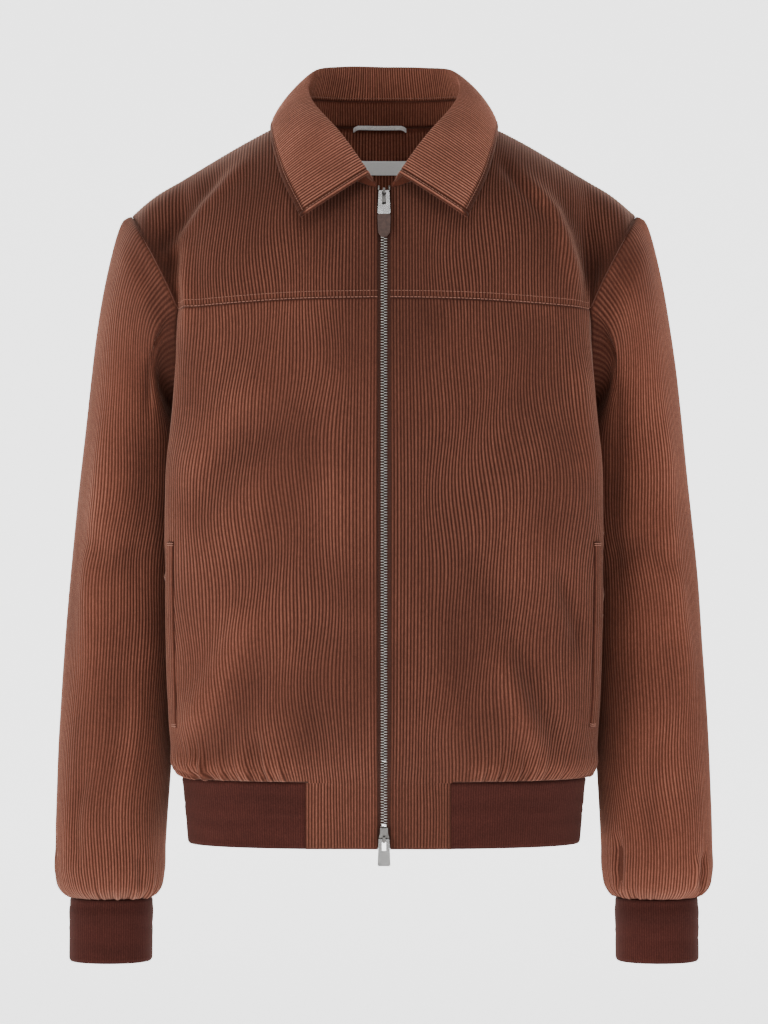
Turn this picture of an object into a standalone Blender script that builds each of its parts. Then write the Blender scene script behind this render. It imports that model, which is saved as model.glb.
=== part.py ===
"""Corduroy zip jacket, filled out as if worn, hollow, with ribbed hem and cuffs.

Metres, +Z up. The front faces -Y and +X is the wearer's left. The origin is the middle of the neck at the
height of the side neck points, where a hanger or a wearer's shoulders carry the jacket.
"""

import math

import bmesh
import bpy
import numpy as np

for old in list(bpy.data.objects):
    bpy.data.objects.remove(old, do_unlink=True)

MM = 0.001
WALL = 2.0 * MM  # lined corduroy, as one wall
RIB_WALL = 2.2 * MM
SEAM = 0.3 * MM  # gap between pieces that are sewn together

# ---------------------------------------------------------------- driving sizes
HEM_Z = -0.6345
RIB_TOP_Z = -0.5765
UNDERARM_Z = -0.250
UNDERARM_Y = 0.010
YOKE_CENTRE_Z = -0.1565
YOKE_DROP = 0.008
YOKE_END_X = 0.180
BACK_TOP_Z = -0.130  # the back's wales start to fan out to the shoulders here
SHOULDER_X = 0.2265
SHOULDER_Z = -0.0755
RIDGE_Y = 0.005
NECK_HALF = 0.082
NECK_FRONT_Y = -0.088
NECK_FRONT_Z = -0.0575
NECK_BACK_Y = 0.070
NECK_Z = 0.012
NECK_DROP_POWER = 1.8  # the neckline leaves the side neck point level with the shoulder
CUFF_TOP_Z = -0.6875
CUFF_END_Z = -0.743
ZIP_OPENING = 5.4 * MM  # from the centre line to each front edge
TAB_RIGHT = 68.0 * MM
TAB_LEFT = 58.0 * MM

# Horizontal sections of the body: half-widths of its front and back corners, depths to the front and back,
# the depth of the front corner, and how far the arm presses the side in, as a share of the width.
BODY_COLUMNS = ("z", "front_half", "back_half", "front", "back", "corner", "pressed")
BODY = (
    (-0.640, 0.1730, 0.170, -0.1120, 0.122, -0.040, 0.00),
    (-0.600, 0.1765, 0.174, -0.1160, 0.126, -0.042, 0.00),
    (-0.577, 0.1790, 0.177, -0.1185, 0.129, -0.045, 0.00),
    (-0.560, 0.1860, 0.182, -0.1230, 0.136, -0.048, 0.01),
    (-0.530, 0.1895, 0.184, -0.1275, 0.141, -0.053, 0.03),
    (-0.455, 0.1930, 0.184, -0.1300, 0.146, -0.060, 0.07),
    (-0.385, 0.1940, 0.184, -0.1310, 0.149, -0.067, 0.10),
    (-0.315, 0.1920, 0.184, -0.1300, 0.150, -0.073, 0.13),
    (-0.250, 0.1860, 0.188, -0.1270, 0.149, -0.073, 0.13),
    (-0.200, 0.1825, 0.195, -0.1235, 0.146, -0.070, 0.08),
    (-0.160, 0.1820, 0.206, -0.1190, 0.142, -0.066, 0.04),
    (-0.120, 0.1820, 0.224, -0.1130, 0.137, -0.060, 0.00),
)
FRONT_POWER = 2.5
BACK_POWER = 3.0
PRESS_Y = 0.030
PRESS_SPREAD = 0.055

# The armhole seam over the front, from the yoke seam up to the shoulder.
ARMHOLE_X = (0.1800, 0.1900, 0.2040, 0.2170, 0.2265)
ARMHOLE_Z = (-0.1645, -0.1420, -0.1150, -0.0930, -0.0755)

# The shoulder seam, seen from the front.
RIDGE_X = (0.082, 0.1014, 0.1185, 0.1500, 0.1797, 0.2085, 0.2265)
RIDGE_Z = (0.0120, 0.0025, -0.0065, -0.0245, -0.0425, -0.0600, -0.0755)

# Horizontal sections of a sleeve.
SLEEVE_COLUMNS = ("z", "outer", "inner", "middle_y", "half_depth")
SLEEVE = (
    (-0.2900, 0.2712, 0.1775, 0.018, 0.068),
    (-0.3400, 0.2765, 0.1790, 0.016, 0.066),
    (-0.4200, 0.2838, 0.1820, 0.010, 0.062),
    (-0.5000, 0.2890, 0.1870, 0.002, 0.058),
    (-0.5800, 0.2922, 0.1923, -0.006, 0.054),
    (-0.6400, 0.2942, 0.1958, -0.010, 0.052),
    (-0.6650, 0.2940, 0.1968, -0.012, 0.050),
    (-0.6790, 0.2895, 0.2005, -0.012, 0.045),
    (-0.6860, 0.2825, 0.2062, -0.012, 0.0345),
    (-0.7000, 0.2818, 0.2070, -0.012, 0.0335),
    (-0.7430, 0.2817, 0.2079, -0.012, 0.0325),
)
SLEEVE_POWER = 2.2
CAP_END_Z = -0.290
ARMHOLE_GAP = 0.65 * MM

# The collar on one side, from the middle of the back (along = 0) to the front end (1): where the seam with
# the stand, the fold and the outer edge lie, how far the fall bows out, and the radius of the roll.
COLLAR_COLUMNS = (
    "along", "stand_x", "stand_y", "stand_z", "fold_x", "fold_y", "fold_z",
    "edge_x", "edge_y", "edge_z", "bow", "roll",
)  # fmt: skip
COLLAR = (
    (0.00, 0.0000, 0.0660, 0.0350, 0.0000, 0.0700, 0.0672, 0.0000, 0.1040, -0.0010, 0.016, 0.0045),
    (0.20, 0.0400, 0.0605, 0.0345, 0.0370, 0.0630, 0.0665, 0.0520, 0.0950, 0.0010, 0.016, 0.0045),
    (0.38, 0.0655, 0.0420, 0.0335, 0.0620, 0.0420, 0.0610, 0.0880, 0.0640, 0.0060, 0.013, 0.0045),
    (0.52, 0.0760, 0.0140, 0.0290, 0.0690, 0.0120, 0.0470, 0.1010, 0.0200, 0.0085, 0.010, 0.0040),
    (0.68, 0.0740, -0.0230, 0.0120, 0.0640, -0.0290, 0.0240, 0.1015, -0.0420, -0.0080, 0.008, 0.0040),
    (0.84, 0.0500, -0.0640, -0.0190, 0.0440, -0.0740, -0.0100, 0.0905, -0.0900, -0.0480, 0.006, 0.0035),
    (1.00, 0.0085, -0.0915, -0.0530, 0.0160, -0.1000, -0.0470, 0.0722, -0.1260, -0.0868, 0.004, 0.0030),
)

MATERIALS = {
    "corduroy": ((0.150, 0.052, 0.032, 1.0), 0.92, 0.0),
    "rib_knit": ((0.075, 0.022, 0.017, 1.0), 0.95, 0.0),
    "zip_tape": ((0.060, 0.030, 0.022, 1.0), 0.90, 0.0),
    "nickel": ((0.620, 0.610, 0.590, 1.0), 0.28, 1.0),
    "leather": ((0.055, 0.030, 0.024, 1.0), 0.55, 0.0),
    "label_weave": ((0.380, 0.380, 0.370, 1.0), 0.80, 0.0),
    "loop_tape": ((0.240, 0.215, 0.205, 1.0), 0.70, 0.0),
}


def make_material(name):
    colour, roughness, metallic = MATERIALS[name]
    made = bpy.data.materials.new(name)
    made.use_nodes = True
    shader = made.node_tree.nodes["Principled BSDF"]
    shader.inputs["Base Color"].default_value = colour
    shader.inputs["Roughness"].default_value = roughness
    shader.inputs["Metallic"].default_value = metallic
    made.diffuse_color = colour
    return made


SLOTS = {name: make_material(name) for name in MATERIALS}


# ---------------------------------------------------------------- curves
def smooth(at, xs, ys):
    """A smooth curve through (xs, ys), xs rising, read at each value of `at`."""
    xs = np.asarray(xs, float)
    ys = np.asarray(ys, float)
    slope = np.gradient(ys, xs)
    at = np.clip(np.asarray(at, float), xs[0], xs[-1])
    i = np.clip(np.searchsorted(xs, at, side="right") - 1, 0, len(xs) - 2)
    width = xs[i + 1] - xs[i]
    t = (at - xs[i]) / width
    return (
        (2 * t**3 - 3 * t**2 + 1) * ys[i]
        + (t**3 - 2 * t**2 + t) * width * slope[i]
        + (3 * t**2 - 2 * t**3) * ys[i + 1]
        + (t**3 - t**2) * width * slope[i + 1]
    )


def column(table, names, name):
    rows = sorted(table, key=lambda row: row[0])
    return [row[names.index(name)] for row in rows]


def reader(table, names):
    """A function that gives every named column of a table at a value of its first column."""
    keys = column(table, names, names[0])
    return lambda at: {name: smooth(at, keys, column(table, names, name)) for name in names[1:]}


def ease(t):
    t = np.clip(t, 0.0, 1.0)
    return t * t * (3 - 2 * t)


def bezier(t, a, b, c, d):
    """Points on cubic curves: t is (rows, 1, 1), and the ends and handles are (columns, 3)."""
    return (1 - t) ** 3 * a + 3 * (1 - t) ** 2 * t * b + 3 * (1 - t) * t**2 * c + t**3 * d


def stack(*parts):
    return np.stack(np.broadcast_arrays(*parts), axis=-1)


def length(v):
    return np.linalg.norm(v, axis=-1, keepdims=True)


# ---------------------------------------------------------------- body
body_at = reader(BODY, BODY_COLUMNS)


def section(phi, z):
    """The body's outline at height z: phi is 0 at the centre front and pi at the centre back."""
    v = body_at(z)
    c, s = np.cos(phi), np.abs(np.sin(phi))
    power = np.where(c > 0, FRONT_POWER, BACK_POWER)
    reach = np.where(c > 0, v["front"] - v["corner"], v["back"] - v["corner"])
    y = v["corner"] + reach * np.abs(c) ** (2 / power)
    turn = ease((y - v["corner"]) / (0.5 * (v["back"] - v["corner"])))
    half = v["front_half"] + (v["back_half"] - v["front_half"]) * turn
    pressed = 1 - v["pressed"] * np.exp(-(((y - PRESS_Y) / PRESS_SPREAD) ** 2))
    return half * s ** (2 / power) * pressed, y


LEVELS = np.arange(-0.640, -0.1199, 0.005)
SHARES = np.linspace(0, 1, 161)


def share_tables():
    """The angle at equal shares of the arc from the centre front, and from the centre back, to the side seam."""
    phi = np.linspace(0, math.pi, 1441)
    fronts, backs = [], []
    for z in LEVELS:
        x, y = section(phi, z)
        arc = np.concatenate([[0], np.cumsum(np.hypot(np.diff(x), np.diff(y)))])
        seam = np.interp(UNDERARM_Y, y, arc)
        fronts.append(np.interp(SHARES * seam, arc, phi))
        backs.append(np.interp(arc[-1] - SHARES * (arc[-1] - seam), arc, phi))
    return np.array(fronts), np.array(backs)


FRONT_ANGLES, BACK_ANGLES = share_tables()


def angle_at(angles, share, z):
    i = np.clip((z - LEVELS[0]) / 0.005, 0, len(LEVELS) - 1.001)
    j = np.clip(share * (len(SHARES) - 1), 0, len(SHARES) - 1.001)
    i0, j0 = i.astype(int), j.astype(int)
    di, dj = i - i0, j - j0
    near = angles[i0, j0] * (1 - dj) + angles[i0, j0 + 1] * dj
    far = angles[i0 + 1, j0] * (1 - dj) + angles[i0 + 1, j0 + 1] * dj
    return near * (1 - di) + far * di


def body_point(angles, share, z):
    share, z = np.broadcast_arrays(np.asarray(share, float), np.asarray(z, float))
    x, y = section(angle_at(angles, share, z), z)
    return stack(x, y, z)


def yoke_seam_z(x):
    return YOKE_CENTRE_Z - YOKE_DROP * (x / YOKE_END_X) ** 2


def yoke_seam_points(share):
    z = np.full_like(share, YOKE_CENTRE_Z)
    for _ in range(4):
        point = body_point(FRONT_ANGLES, share, z)
        z = yoke_seam_z(point[..., 0])
    return body_point(FRONT_ANGLES, share, z)


DENSE = np.linspace(0, 1, 801)
SEAM_LINE = yoke_seam_points(DENSE)
LAST = int(np.argmax(SEAM_LINE[:, 0] > YOKE_END_X))
SHARE_END = float(np.interp(YOKE_END_X, SEAM_LINE[: LAST + 1, 0], DENSE[: LAST + 1]))
SHARE_ZIP = float(np.interp(ZIP_OPENING, SEAM_LINE[: LAST + 1, 0], DENSE[: LAST + 1]))
SHARE_NECK = float(np.interp(NECK_HALF, SEAM_LINE[: LAST + 1, 0], DENSE[: LAST + 1]))
SEAM_END = yoke_seam_points(np.array([SHARE_END]))[0]


def armhole_front(t):
    """The armhole seam above the yoke seam: t is 0 at the yoke seam and 1 at the shoulder."""
    ts = np.linspace(0, 1, len(ARMHOLE_X))
    x = smooth(t, ts, ARMHOLE_X)
    z = smooth(t, ts, ARMHOLE_Z)
    y = RIDGE_Y + (SEAM_END[1] - RIDGE_Y) * (1 - np.asarray(t, float) ** 2.2) ** 0.62
    return stack(x, y, z)


ARMHOLE_T = np.linspace(0, 1, 201)
ARMHOLE_LINE = armhole_front(ARMHOLE_T)


def front_top_z(share):
    """How high the front reaches: to the yoke seam, then down the armhole to the underarm."""
    rise = np.clip((1 - share) / (1 - SHARE_END), 0, 1)
    side = UNDERARM_Z + (SEAM_END[2] - UNDERARM_Z) * rise**2.2
    return np.where(share <= SHARE_END, yoke_seam_points(np.minimum(share, SHARE_END))[..., 2], side)


def ridge_z(x):
    return smooth(x, RIDGE_X, RIDGE_Z)


def front_edge_top(x):
    """The neckline, then the shoulder seam, over the front."""
    inside = np.clip(x / NECK_HALF, 0, 1)
    a = np.arcsin(inside)
    neck_y = RIDGE_Y + (NECK_FRONT_Y - RIDGE_Y) * np.cos(a)
    neck_z = NECK_Z + (NECK_FRONT_Z - NECK_Z) * np.abs(np.cos(a)) ** NECK_DROP_POWER
    on_neck = x < NECK_HALF
    return stack(x, np.where(on_neck, neck_y, RIDGE_Y), np.where(on_neck, neck_z, ridge_z(x)))


def back_edge_top(x):
    inside = np.clip(x / NECK_HALF, 0, 1)
    neck_y = RIDGE_Y + (NECK_BACK_Y - RIDGE_Y) * np.cos(np.arcsin(inside))
    on_neck = x < NECK_HALF
    return stack(x, np.where(on_neck, neck_y, RIDGE_Y), np.where(on_neck, NECK_Z, ridge_z(x)))


def yoke_points(x, t):
    """The front yoke in columns at each x: t is 0 on the yoke seam or armhole, 1 on the neckline or shoulder."""
    x = np.asarray(x, float)
    edge = np.vstack([SEAM_LINE[:LAST], ARMHOLE_LINE])
    low = stack(x, np.interp(x, edge[:, 0], edge[:, 1]), np.interp(x, edge[:, 0], edge[:, 2]))
    high = front_edge_top(x)
    dy = np.abs(high[:, 1:2] - low[:, 1:2])
    dz = np.abs(high[:, 2:3] - low[:, 2:3])
    across = ease(x / NECK_HALF)[:, None]
    lean = (0.13 + 0.75 * ease((x - 0.150) / 0.070))[:, None]
    up = np.concatenate([0 * lean, lean, 1 + 0 * lean], 1) * (0.38 + 0.17 * across) * dz
    flat = np.concatenate([0 * dy, -dy, -0.10 * dy], 1) * 0.58
    steep = np.array([0.0, -0.42, -0.9]) * 0.38 * np.hypot(dy, dz)
    out = steep * (1 - across) + flat * across
    return bezier(np.asarray(t, float).reshape(-1, 1, 1), low, low + up, high + out, high)


BACK_START = body_point(BACK_ANGLES, DENSE, BACK_TOP_Z)
SHARE_BACK_END = float(np.interp(-0.078, -BACK_START[:, 1], DENSE))
BACK_END = body_point(BACK_ANGLES, SHARE_BACK_END, BACK_TOP_Z)
BACK_FAN = SHOULDER_X / float(BACK_END[0])
SHARE_BACK_NECK = float(np.interp(NECK_HALF / BACK_FAN, BACK_START[:400, 0], DENSE[:400]))


def back_top_z(share):
    rise = np.clip((1 - share) / (1 - SHARE_BACK_END), 0, 1)
    side = UNDERARM_Z + (BACK_TOP_Z - UNDERARM_Z) * rise**2.0
    return np.where(share <= SHARE_BACK_END, BACK_TOP_Z, side)


def back_upper_points(share, t):
    share = np.asarray(share, float)
    low = body_point(BACK_ANGLES, share, BACK_TOP_Z)
    high = back_edge_top(low[:, 0] * BACK_FAN)
    dy = np.abs(high[:, 1:2] - low[:, 1:2])
    dz = np.abs(high[:, 2:3] - low[:, 2:3])
    across = ease(high[:, 0] / NECK_HALF)[:, None]
    up = np.array([0.0, -0.16, 1.0]) * (0.36 + 0.16 * across) * dz
    flat = np.concatenate([0 * dy, dy, -0.10 * dy], 1) * 0.60
    steep = np.array([0.0, 0.50, -0.87]) * 0.36 * np.hypot(dy, dz)
    out = steep * (1 - across) + flat * across
    return bezier(np.asarray(t, float).reshape(-1, 1, 1), low, low + up, high + out, high)


# ---------------------------------------------------------------- solids
def corner_normals(points, faces):
    a, b, c, d = (points[faces[:, k]] for k in range(4))
    face = np.cross(c - a, d - b)
    total = np.zeros_like(points)
    for k in range(4):
        np.add.at(total, faces[:, k], face)
    return total / np.maximum(length(total), 1e-12)


def grid_faces(rows, columns, keep=None, closed=False):
    """Quads of a grid of points, seen from outside when rows go up and columns go to the viewer's right."""
    faces = []
    for r in range(rows - 1):
        for c in range(columns if closed else columns - 1):
            if keep is None or keep[r, c]:
                d = (c + 1) % columns
                faces.append((r * columns + c, r * columns + d, (r + 1) * columns + d, (r + 1) * columns + c))
    return np.array(faces)


def smooth_shaded(made):
    for polygon in made.data.polygons:
        polygon.use_smooth = True


def solid(name, verts, faces, slot, location=(0, 0, 0)):
    mesh = bpy.data.meshes.new(name)
    mesh.from_pydata([tuple(v) for v in verts], [], [tuple(int(i) for i in f) for f in faces])
    mesh.validate()
    made = bpy.data.objects.new(name, mesh)
    bpy.context.collection.objects.link(made)
    bm = bmesh.new()
    bm.from_mesh(mesh)
    bmesh.ops.recalc_face_normals(bm, faces=bm.faces)
    bm.to_mesh(mesh)
    bm.free()
    made.location = location
    mesh.materials.append(SLOTS[slot])
    return made


def behind(grid, wall=WALL, keep=None, closed=False, flip=False, level=(), upright=()):
    """The inner face of a cloth wall. On the rows in `level` the wall's end is horizontal, and on the (row,
    from column) pairs in `upright` it stands across the shoulder seam."""
    rows, columns = grid.shape[:2]
    flat = grid.reshape(-1, 3)
    normal = corner_normals(flat, grid_faces(rows, columns, keep, closed))
    inner = (flat - wall * (-normal if flip else normal)).reshape(grid.shape)
    for r, stop in level:
        inner[r, :stop, 2] = grid[r, :stop, 2]
    for r, start in upright:
        inner[r, start:, 1] = grid[r, start:, 1]
    return inner


def cloth(name, grid, inner, slot, keep=None, closed=False, middle=0):
    """A cloth wall between its outer and inner face, both given as grids of points. Columns before `middle`
    are split along the other diagonal, so that a piece that crosses the centre line is symmetric."""
    rows, columns = grid.shape[:2]
    outer = grid.reshape(-1, 3)
    inner = inner.reshape(-1, 3)
    faces = grid_faces(rows, columns, keep, closed)
    before = faces[:, 0] % columns < middle
    used = np.unique(faces)
    order = np.full(len(outer), -1)
    order[used] = np.arange(len(used))
    faces = order[faces]
    outer, inner = outer[used], inner[used]
    count = len(outer)
    front = []
    edges = set()
    for (a, b, c, d), other in zip(faces, before):
        front += [(a, b, d), (b, c, d)] if other else [(a, b, c), (a, c, d)]
        edges.update(((a, b), (b, c), (c, d), (d, a)))
    back = [(c + count, b + count, a + count) for a, b, c in front]
    verts = np.concatenate([outer, inner])
    walls = []
    for a, b in sorted(edges):
        if (b, a) not in edges:
            end = (b, a, a + count, b + count)
            top = int(np.argmax(verts[list(end), 2]))  # both pieces of a seam split from the highest corner
            p, q, r, s = end[top:] + end[:top]
            walls += [(p, q, r), (p, r, s)]
    made = solid(name, verts, [*front, *back, *walls], slot)
    smooth_shaded(made)
    return made


def mirrored(points, side):
    return points * np.array([side, 1.0, 1.0])


def on_grid(grid, r, c):
    """Points on the triangles of a grid at fractional rows r and columns c."""
    i = np.clip(np.floor(r).astype(int), 0, grid.shape[0] - 2)
    j = np.clip(np.floor(c).astype(int), 0, grid.shape[1] - 2)
    dr, dc = np.broadcast_arrays((r - i)[:, None, None], (c - j)[None, :, None])
    i, j = i[:, None], j[None, :]
    low, right = grid[i, j], grid[i, j + 1]
    left, high = grid[i + 1, j], grid[i + 1, j + 1]
    under = low + dc * (right - low) + dr * (high - right)
    over = low + dr * (left - low) + dc * (high - left)
    return np.where(dc >= dr, under, over)


def lying_on(outer, inner, r, c, clearance, wall):
    """A strip on a panel, from the panel's points moved out past its face, or inside if clearance is negative."""
    face, back = on_grid(outer, r, c), on_grid(inner, r, c)
    way = (face - back) / length(face - back)
    if clearance > 0:
        return face + way * (clearance + wall), face + way * clearance
    return back + way * clearance, back + way * (clearance - wall)


def box(name, low, high, slot, location=(0, 0, 0)):
    (x0, y0, z0), (x1, y1, z1) = low, high
    verts = [(x, y, z) for z in (z0, z1) for y in (y0, y1) for x in (x0, x1)]
    faces = [(0, 1, 3, 2), (4, 6, 7, 5), (0, 4, 5, 1), (2, 3, 7, 6), (0, 2, 6, 4), (1, 5, 7, 3)]
    return solid(name, verts, faces, slot, location)


def apply_boolean(target, other, kind):
    cut = target.modifiers.new(kind, "BOOLEAN")
    cut.operation = kind
    cut.solver = "EXACT"
    cut.object = other
    bpy.context.view_layer.update()
    mesh = bpy.data.meshes.new_from_object(target.evaluated_get(bpy.context.evaluated_depsgraph_get()))
    target.modifiers.clear()
    target.data = mesh
    bpy.data.objects.remove(other, do_unlink=True)


# ---------------------------------------------------------------- fronts, yokes, back
FRONT_NECK_X = NECK_HALF * np.sin(np.linspace(math.asin(ZIP_OPENING / NECK_HALF), math.pi / 2, 7))
FRONT_SHARES = np.concatenate([
    np.interp(FRONT_NECK_X, SEAM_LINE[: LAST + 1, 0], DENSE[: LAST + 1]),
    np.linspace(SHARE_NECK, SHARE_END, 5)[1:],
    np.linspace(SHARE_END, 1, 6)[1:],
])  # fmt: skip
FRONT_NECK_COLUMN = 6
FRONT_SEAM_COLUMN = 10
FRONT_ROWS = np.array([0, 0.03, 0.08, 0.16, 0.26, 0.36, 0.47, 0.58, 0.69, 0.80, 0.90, 1])


def front_grid(shares, rows, gap=SEAM / 2):
    top = front_top_z(shares)
    shares = shares.copy()
    shares[-1] = 1 - gap / 0.30
    low = RIB_TOP_Z + gap
    z = low + (top - gap - low) * rows[:, None]
    return body_point(FRONT_ANGLES, shares[None, :], z)


def yoke_columns():
    seam = yoke_seam_points(FRONT_SHARES[: FRONT_SEAM_COLUMN + 1])
    rest = ARMHOLE_LINE[[50, 100, 145, 180, 196], 0]
    return np.concatenate([seam[:, 0], rest])


def yoke_grid(x, rows):
    grid = yoke_points(x, rows)
    grid[0, :, 2] += np.where(x <= YOKE_END_X + 1e-6, SEAM / 2, 0)
    grid[-1, :, 1] -= np.where(x >= NECK_HALF - 1e-6, SEAM / 2, 0)
    return grid


BACK_NECK_X = NECK_HALF * np.sin(np.linspace(0, math.pi / 2, 6))
BACK_SHARES = np.concatenate([
    np.interp(BACK_NECK_X / BACK_FAN, BACK_START[:400, 0], DENSE[:400]),
    np.linspace(SHARE_BACK_NECK, SHARE_BACK_END, 5)[1:],
    np.linspace(SHARE_BACK_END, 1, 6)[1:],
])  # fmt: skip
BACK_NECK_COLUMN = 5
BACK_EDGE_COLUMN = 9
BACK_LOWER_ROWS = np.array([0, 0.03, 0.08, 0.17, 0.28, 0.40, 0.53, 0.66, 0.78, 0.90, 1])
BACK_UPPER_ROWS = np.array([0.2, 0.4, 0.6, 0.8, 1.0])


def back_half_grid():
    """From the centre back to the wearer's left side seam, columns outward, rows up."""
    shares = BACK_SHARES.copy()
    top = back_top_z(shares)
    shares[-1] = 1 - SEAM / 2 / 0.30
    low = RIB_TOP_Z + SEAM / 2
    z = low + (top - low) * BACK_LOWER_ROWS[:, None]
    lower = body_point(BACK_ANGLES, shares[None, :], z)
    upper = back_upper_points(BACK_SHARES, BACK_UPPER_ROWS)
    upper[-1, BACK_NECK_COLUMN:, 1] += SEAM / 2
    return np.concatenate([lower, upper])


def sides_joined(half):
    """Joins a half grid, whose columns run from the centre out, with its mirror image."""
    return np.concatenate([mirrored(half[:, :0:-1], -1), half], axis=1)


YOKE_X = yoke_columns()
YOKE_ROWS = np.array([0, 0.18, 0.36, 0.53, 0.69, 0.85, 1.0])
FRONT = front_grid(FRONT_SHARES, FRONT_ROWS)
YOKE = yoke_grid(YOKE_X, YOKE_ROWS)
BACK_HALF = back_half_grid()
BACK_KEEP = np.ones((BACK_HALF.shape[0] - 1, BACK_HALF.shape[1] - 1), bool)
BACK_KEEP[len(BACK_LOWER_ROWS) - 1 :, BACK_EDGE_COLUMN:] = False

FRONT_IN = behind(FRONT, level=((0, None), (-1, FRONT_SEAM_COLUMN + 1)))
YOKE_IN = behind(YOKE, level=((0, FRONT_SEAM_COLUMN + 1),), upright=((-1, FRONT_NECK_COLUMN),))
BACK_IN = behind(BACK_HALF, keep=BACK_KEEP, flip=True, level=((0, None),), upright=((-1, BACK_NECK_COLUMN),))
BACK_IN[:, 0, 0] = 0.0

for side, word in ((1, "left"), (-1, "right")):
    cloth(f"front_{word}", mirrored(FRONT, side), mirrored(FRONT_IN, side), "corduroy")
    cloth(f"front_yoke_{word}", mirrored(YOKE, side), mirrored(YOKE_IN, side), "corduroy")

keep_both = np.concatenate([BACK_KEEP[:, ::-1], BACK_KEEP], axis=1)
cloth("back", sides_joined(BACK_HALF), sides_joined(BACK_IN), "corduroy", keep_both, middle=len(BACK_SHARES) - 1)

# ---------------------------------------------------------------- sleeves
sleeve_at = reader(SLEEVE, SLEEVE_COLUMNS)


def sleeve_point(theta, z):
    """theta is 0 at the outer side, a quarter turn at the front and half a turn at the body."""
    v = sleeve_at(z)
    c, s = np.cos(theta), np.sin(theta)
    half = (v["outer"] - v["inner"]) / 2
    x = (v["outer"] + v["inner"]) / 2 + half * np.sign(c) * np.abs(c) ** (2 / SLEEVE_POWER)
    y = v["middle_y"] - v["half_depth"] * np.sign(s) * np.abs(s) ** (2 / SLEEVE_POWER)
    return stack(x, y, z + 0 * x)


def armhole_ring():
    """The armhole's edge round the panels, from the shoulder over the front to the underarm and up the back:
    outer and inner points and the share of each half's length."""
    yoke_in, front_in, back_in = YOKE_IN, FRONT_IN, BACK_IN
    columns = BACK_HALF.shape[1]
    last = len(BACK_LOWER_ROWS) - 1
    first = FRONT_SEAM_COLUMN
    pairs = [(YOKE[0, c], yoke_in[0, c]) for c in range(len(YOKE_X) - 1, first, -1)]
    corner = ((YOKE[0, first] + FRONT[-1, first]) / 2, (yoke_in[0, first] + front_in[-1, first]) / 2)
    pairs += [corner]
    pairs += [(FRONT[-1, c], front_in[-1, c]) for c in range(first + 1, FRONT.shape[1] - 1)]
    under = ((FRONT[-1, -1] + BACK_HALF[last, -1]) / 2, (front_in[-1, -1] + back_in[last, -1]) / 2)
    front_count = len(pairs)
    pairs += [under]
    pairs += [(BACK_HALF[last, c], back_in[last, c]) for c in range(columns - 2, BACK_EDGE_COLUMN - 1, -1)]
    edge = BACK_EDGE_COLUMN
    pairs += [(BACK_HALF[r, edge], back_in[r, edge]) for r in range(last + 1, BACK_HALF.shape[0] - 1)]
    tip_out = (BACK_HALF[-1, BACK_EDGE_COLUMN] + armhole_front(1.0)) / 2
    tip_in = tip_out + (back_in[-1, BACK_EDGE_COLUMN] - BACK_HALF[-1, BACK_EDGE_COLUMN])
    pairs.insert(0, (tip_out, tip_in))
    return np.array([p[0] for p in pairs]), np.array([p[1] for p in pairs]), front_count + 1


RING_OUT, RING_IN, UNDER_INDEX = armhole_ring()


def ring_angles():
    """Where each point of the armhole ring meets the sleeve's turn: evenly down the wales, then gathered under."""
    steps = np.linalg.norm(np.diff(np.vstack([RING_OUT, RING_OUT[:1]]), axis=0), axis=1)
    arc = np.concatenate([[0], np.cumsum(steps)])
    front = arc[: UNDER_INDEX + 1] / arc[UNDER_INDEX]
    back = (arc[-1] - arc[UNDER_INDEX + 1 : -1]) / (arc[-1] - arc[UNDER_INDEX])
    return np.concatenate([math.pi * front ** (1 / 1.45), 2 * math.pi - math.pi * back ** (1 / 1.45)])


RING_THETA = ring_angles()


def leaving(theta):
    """Which way the sleeve leaves the armhole seam, and how strongly."""
    under = (1 - np.cos(theta)) / 2
    side = np.abs(np.sin(theta))
    x = 0.80 - 0.22 * side + 0.15 * under
    y = 0.12 * np.sin(theta)
    z = -0.60 - 0.22 * side + 0.70 * under**2
    way = stack(x, y, z)
    return way / length(way), 0.030 + 0.014 * side + 0.002 * under


def cap_points(theta, start, t):
    """The sleeve cap: columns from the armhole seam down to the first full section."""
    end = sleeve_point(theta, np.full_like(theta, CAP_END_Z))
    below = sleeve_point(theta, np.full_like(theta, CAP_END_Z - 0.02))
    up = (end - below) / length(end - below)
    way, strength = leaving(theta)
    reach = length(end - start)
    first = start + way * np.minimum(strength[:, None], 0.5 * reach)
    second = end + up * 0.42 * reach
    return bezier(np.asarray(t, float).reshape(-1, 1, 1), start, first, second, end)


CAP_ROWS = np.array([0, 0.12, 0.26, 0.44, 0.62, 0.80, 1.0])
SLEEVE_ROWS = np.array([-0.35, -0.415, -0.48, -0.545, -0.60, -0.64, -0.665, -0.679, -0.6868])


def seam_depth(theta, way):
    """From the outer to the inner edge of the sleeve's wall at the armhole: along the panels' edge over the
    shoulder, and square to the sleeve's own surface under the arm."""
    along = np.roll(RING_OUT, -1, axis=0) - np.roll(RING_OUT, 1, axis=0)
    own = np.cross(way, along)
    own = own / length(own)
    into = np.array([0.225, 0.015, -0.190]) - RING_OUT
    own = own * np.sign(np.sum(own * into, -1, keepdims=True))
    shared = (RING_IN - RING_OUT) / length(RING_IN - RING_OUT)
    under = ease(((1 - np.cos(theta)) / 2 - 0.62) / 0.20)[:, None]
    depth = shared * (1 - under) + own * under
    return WALL * depth / length(depth)


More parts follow.
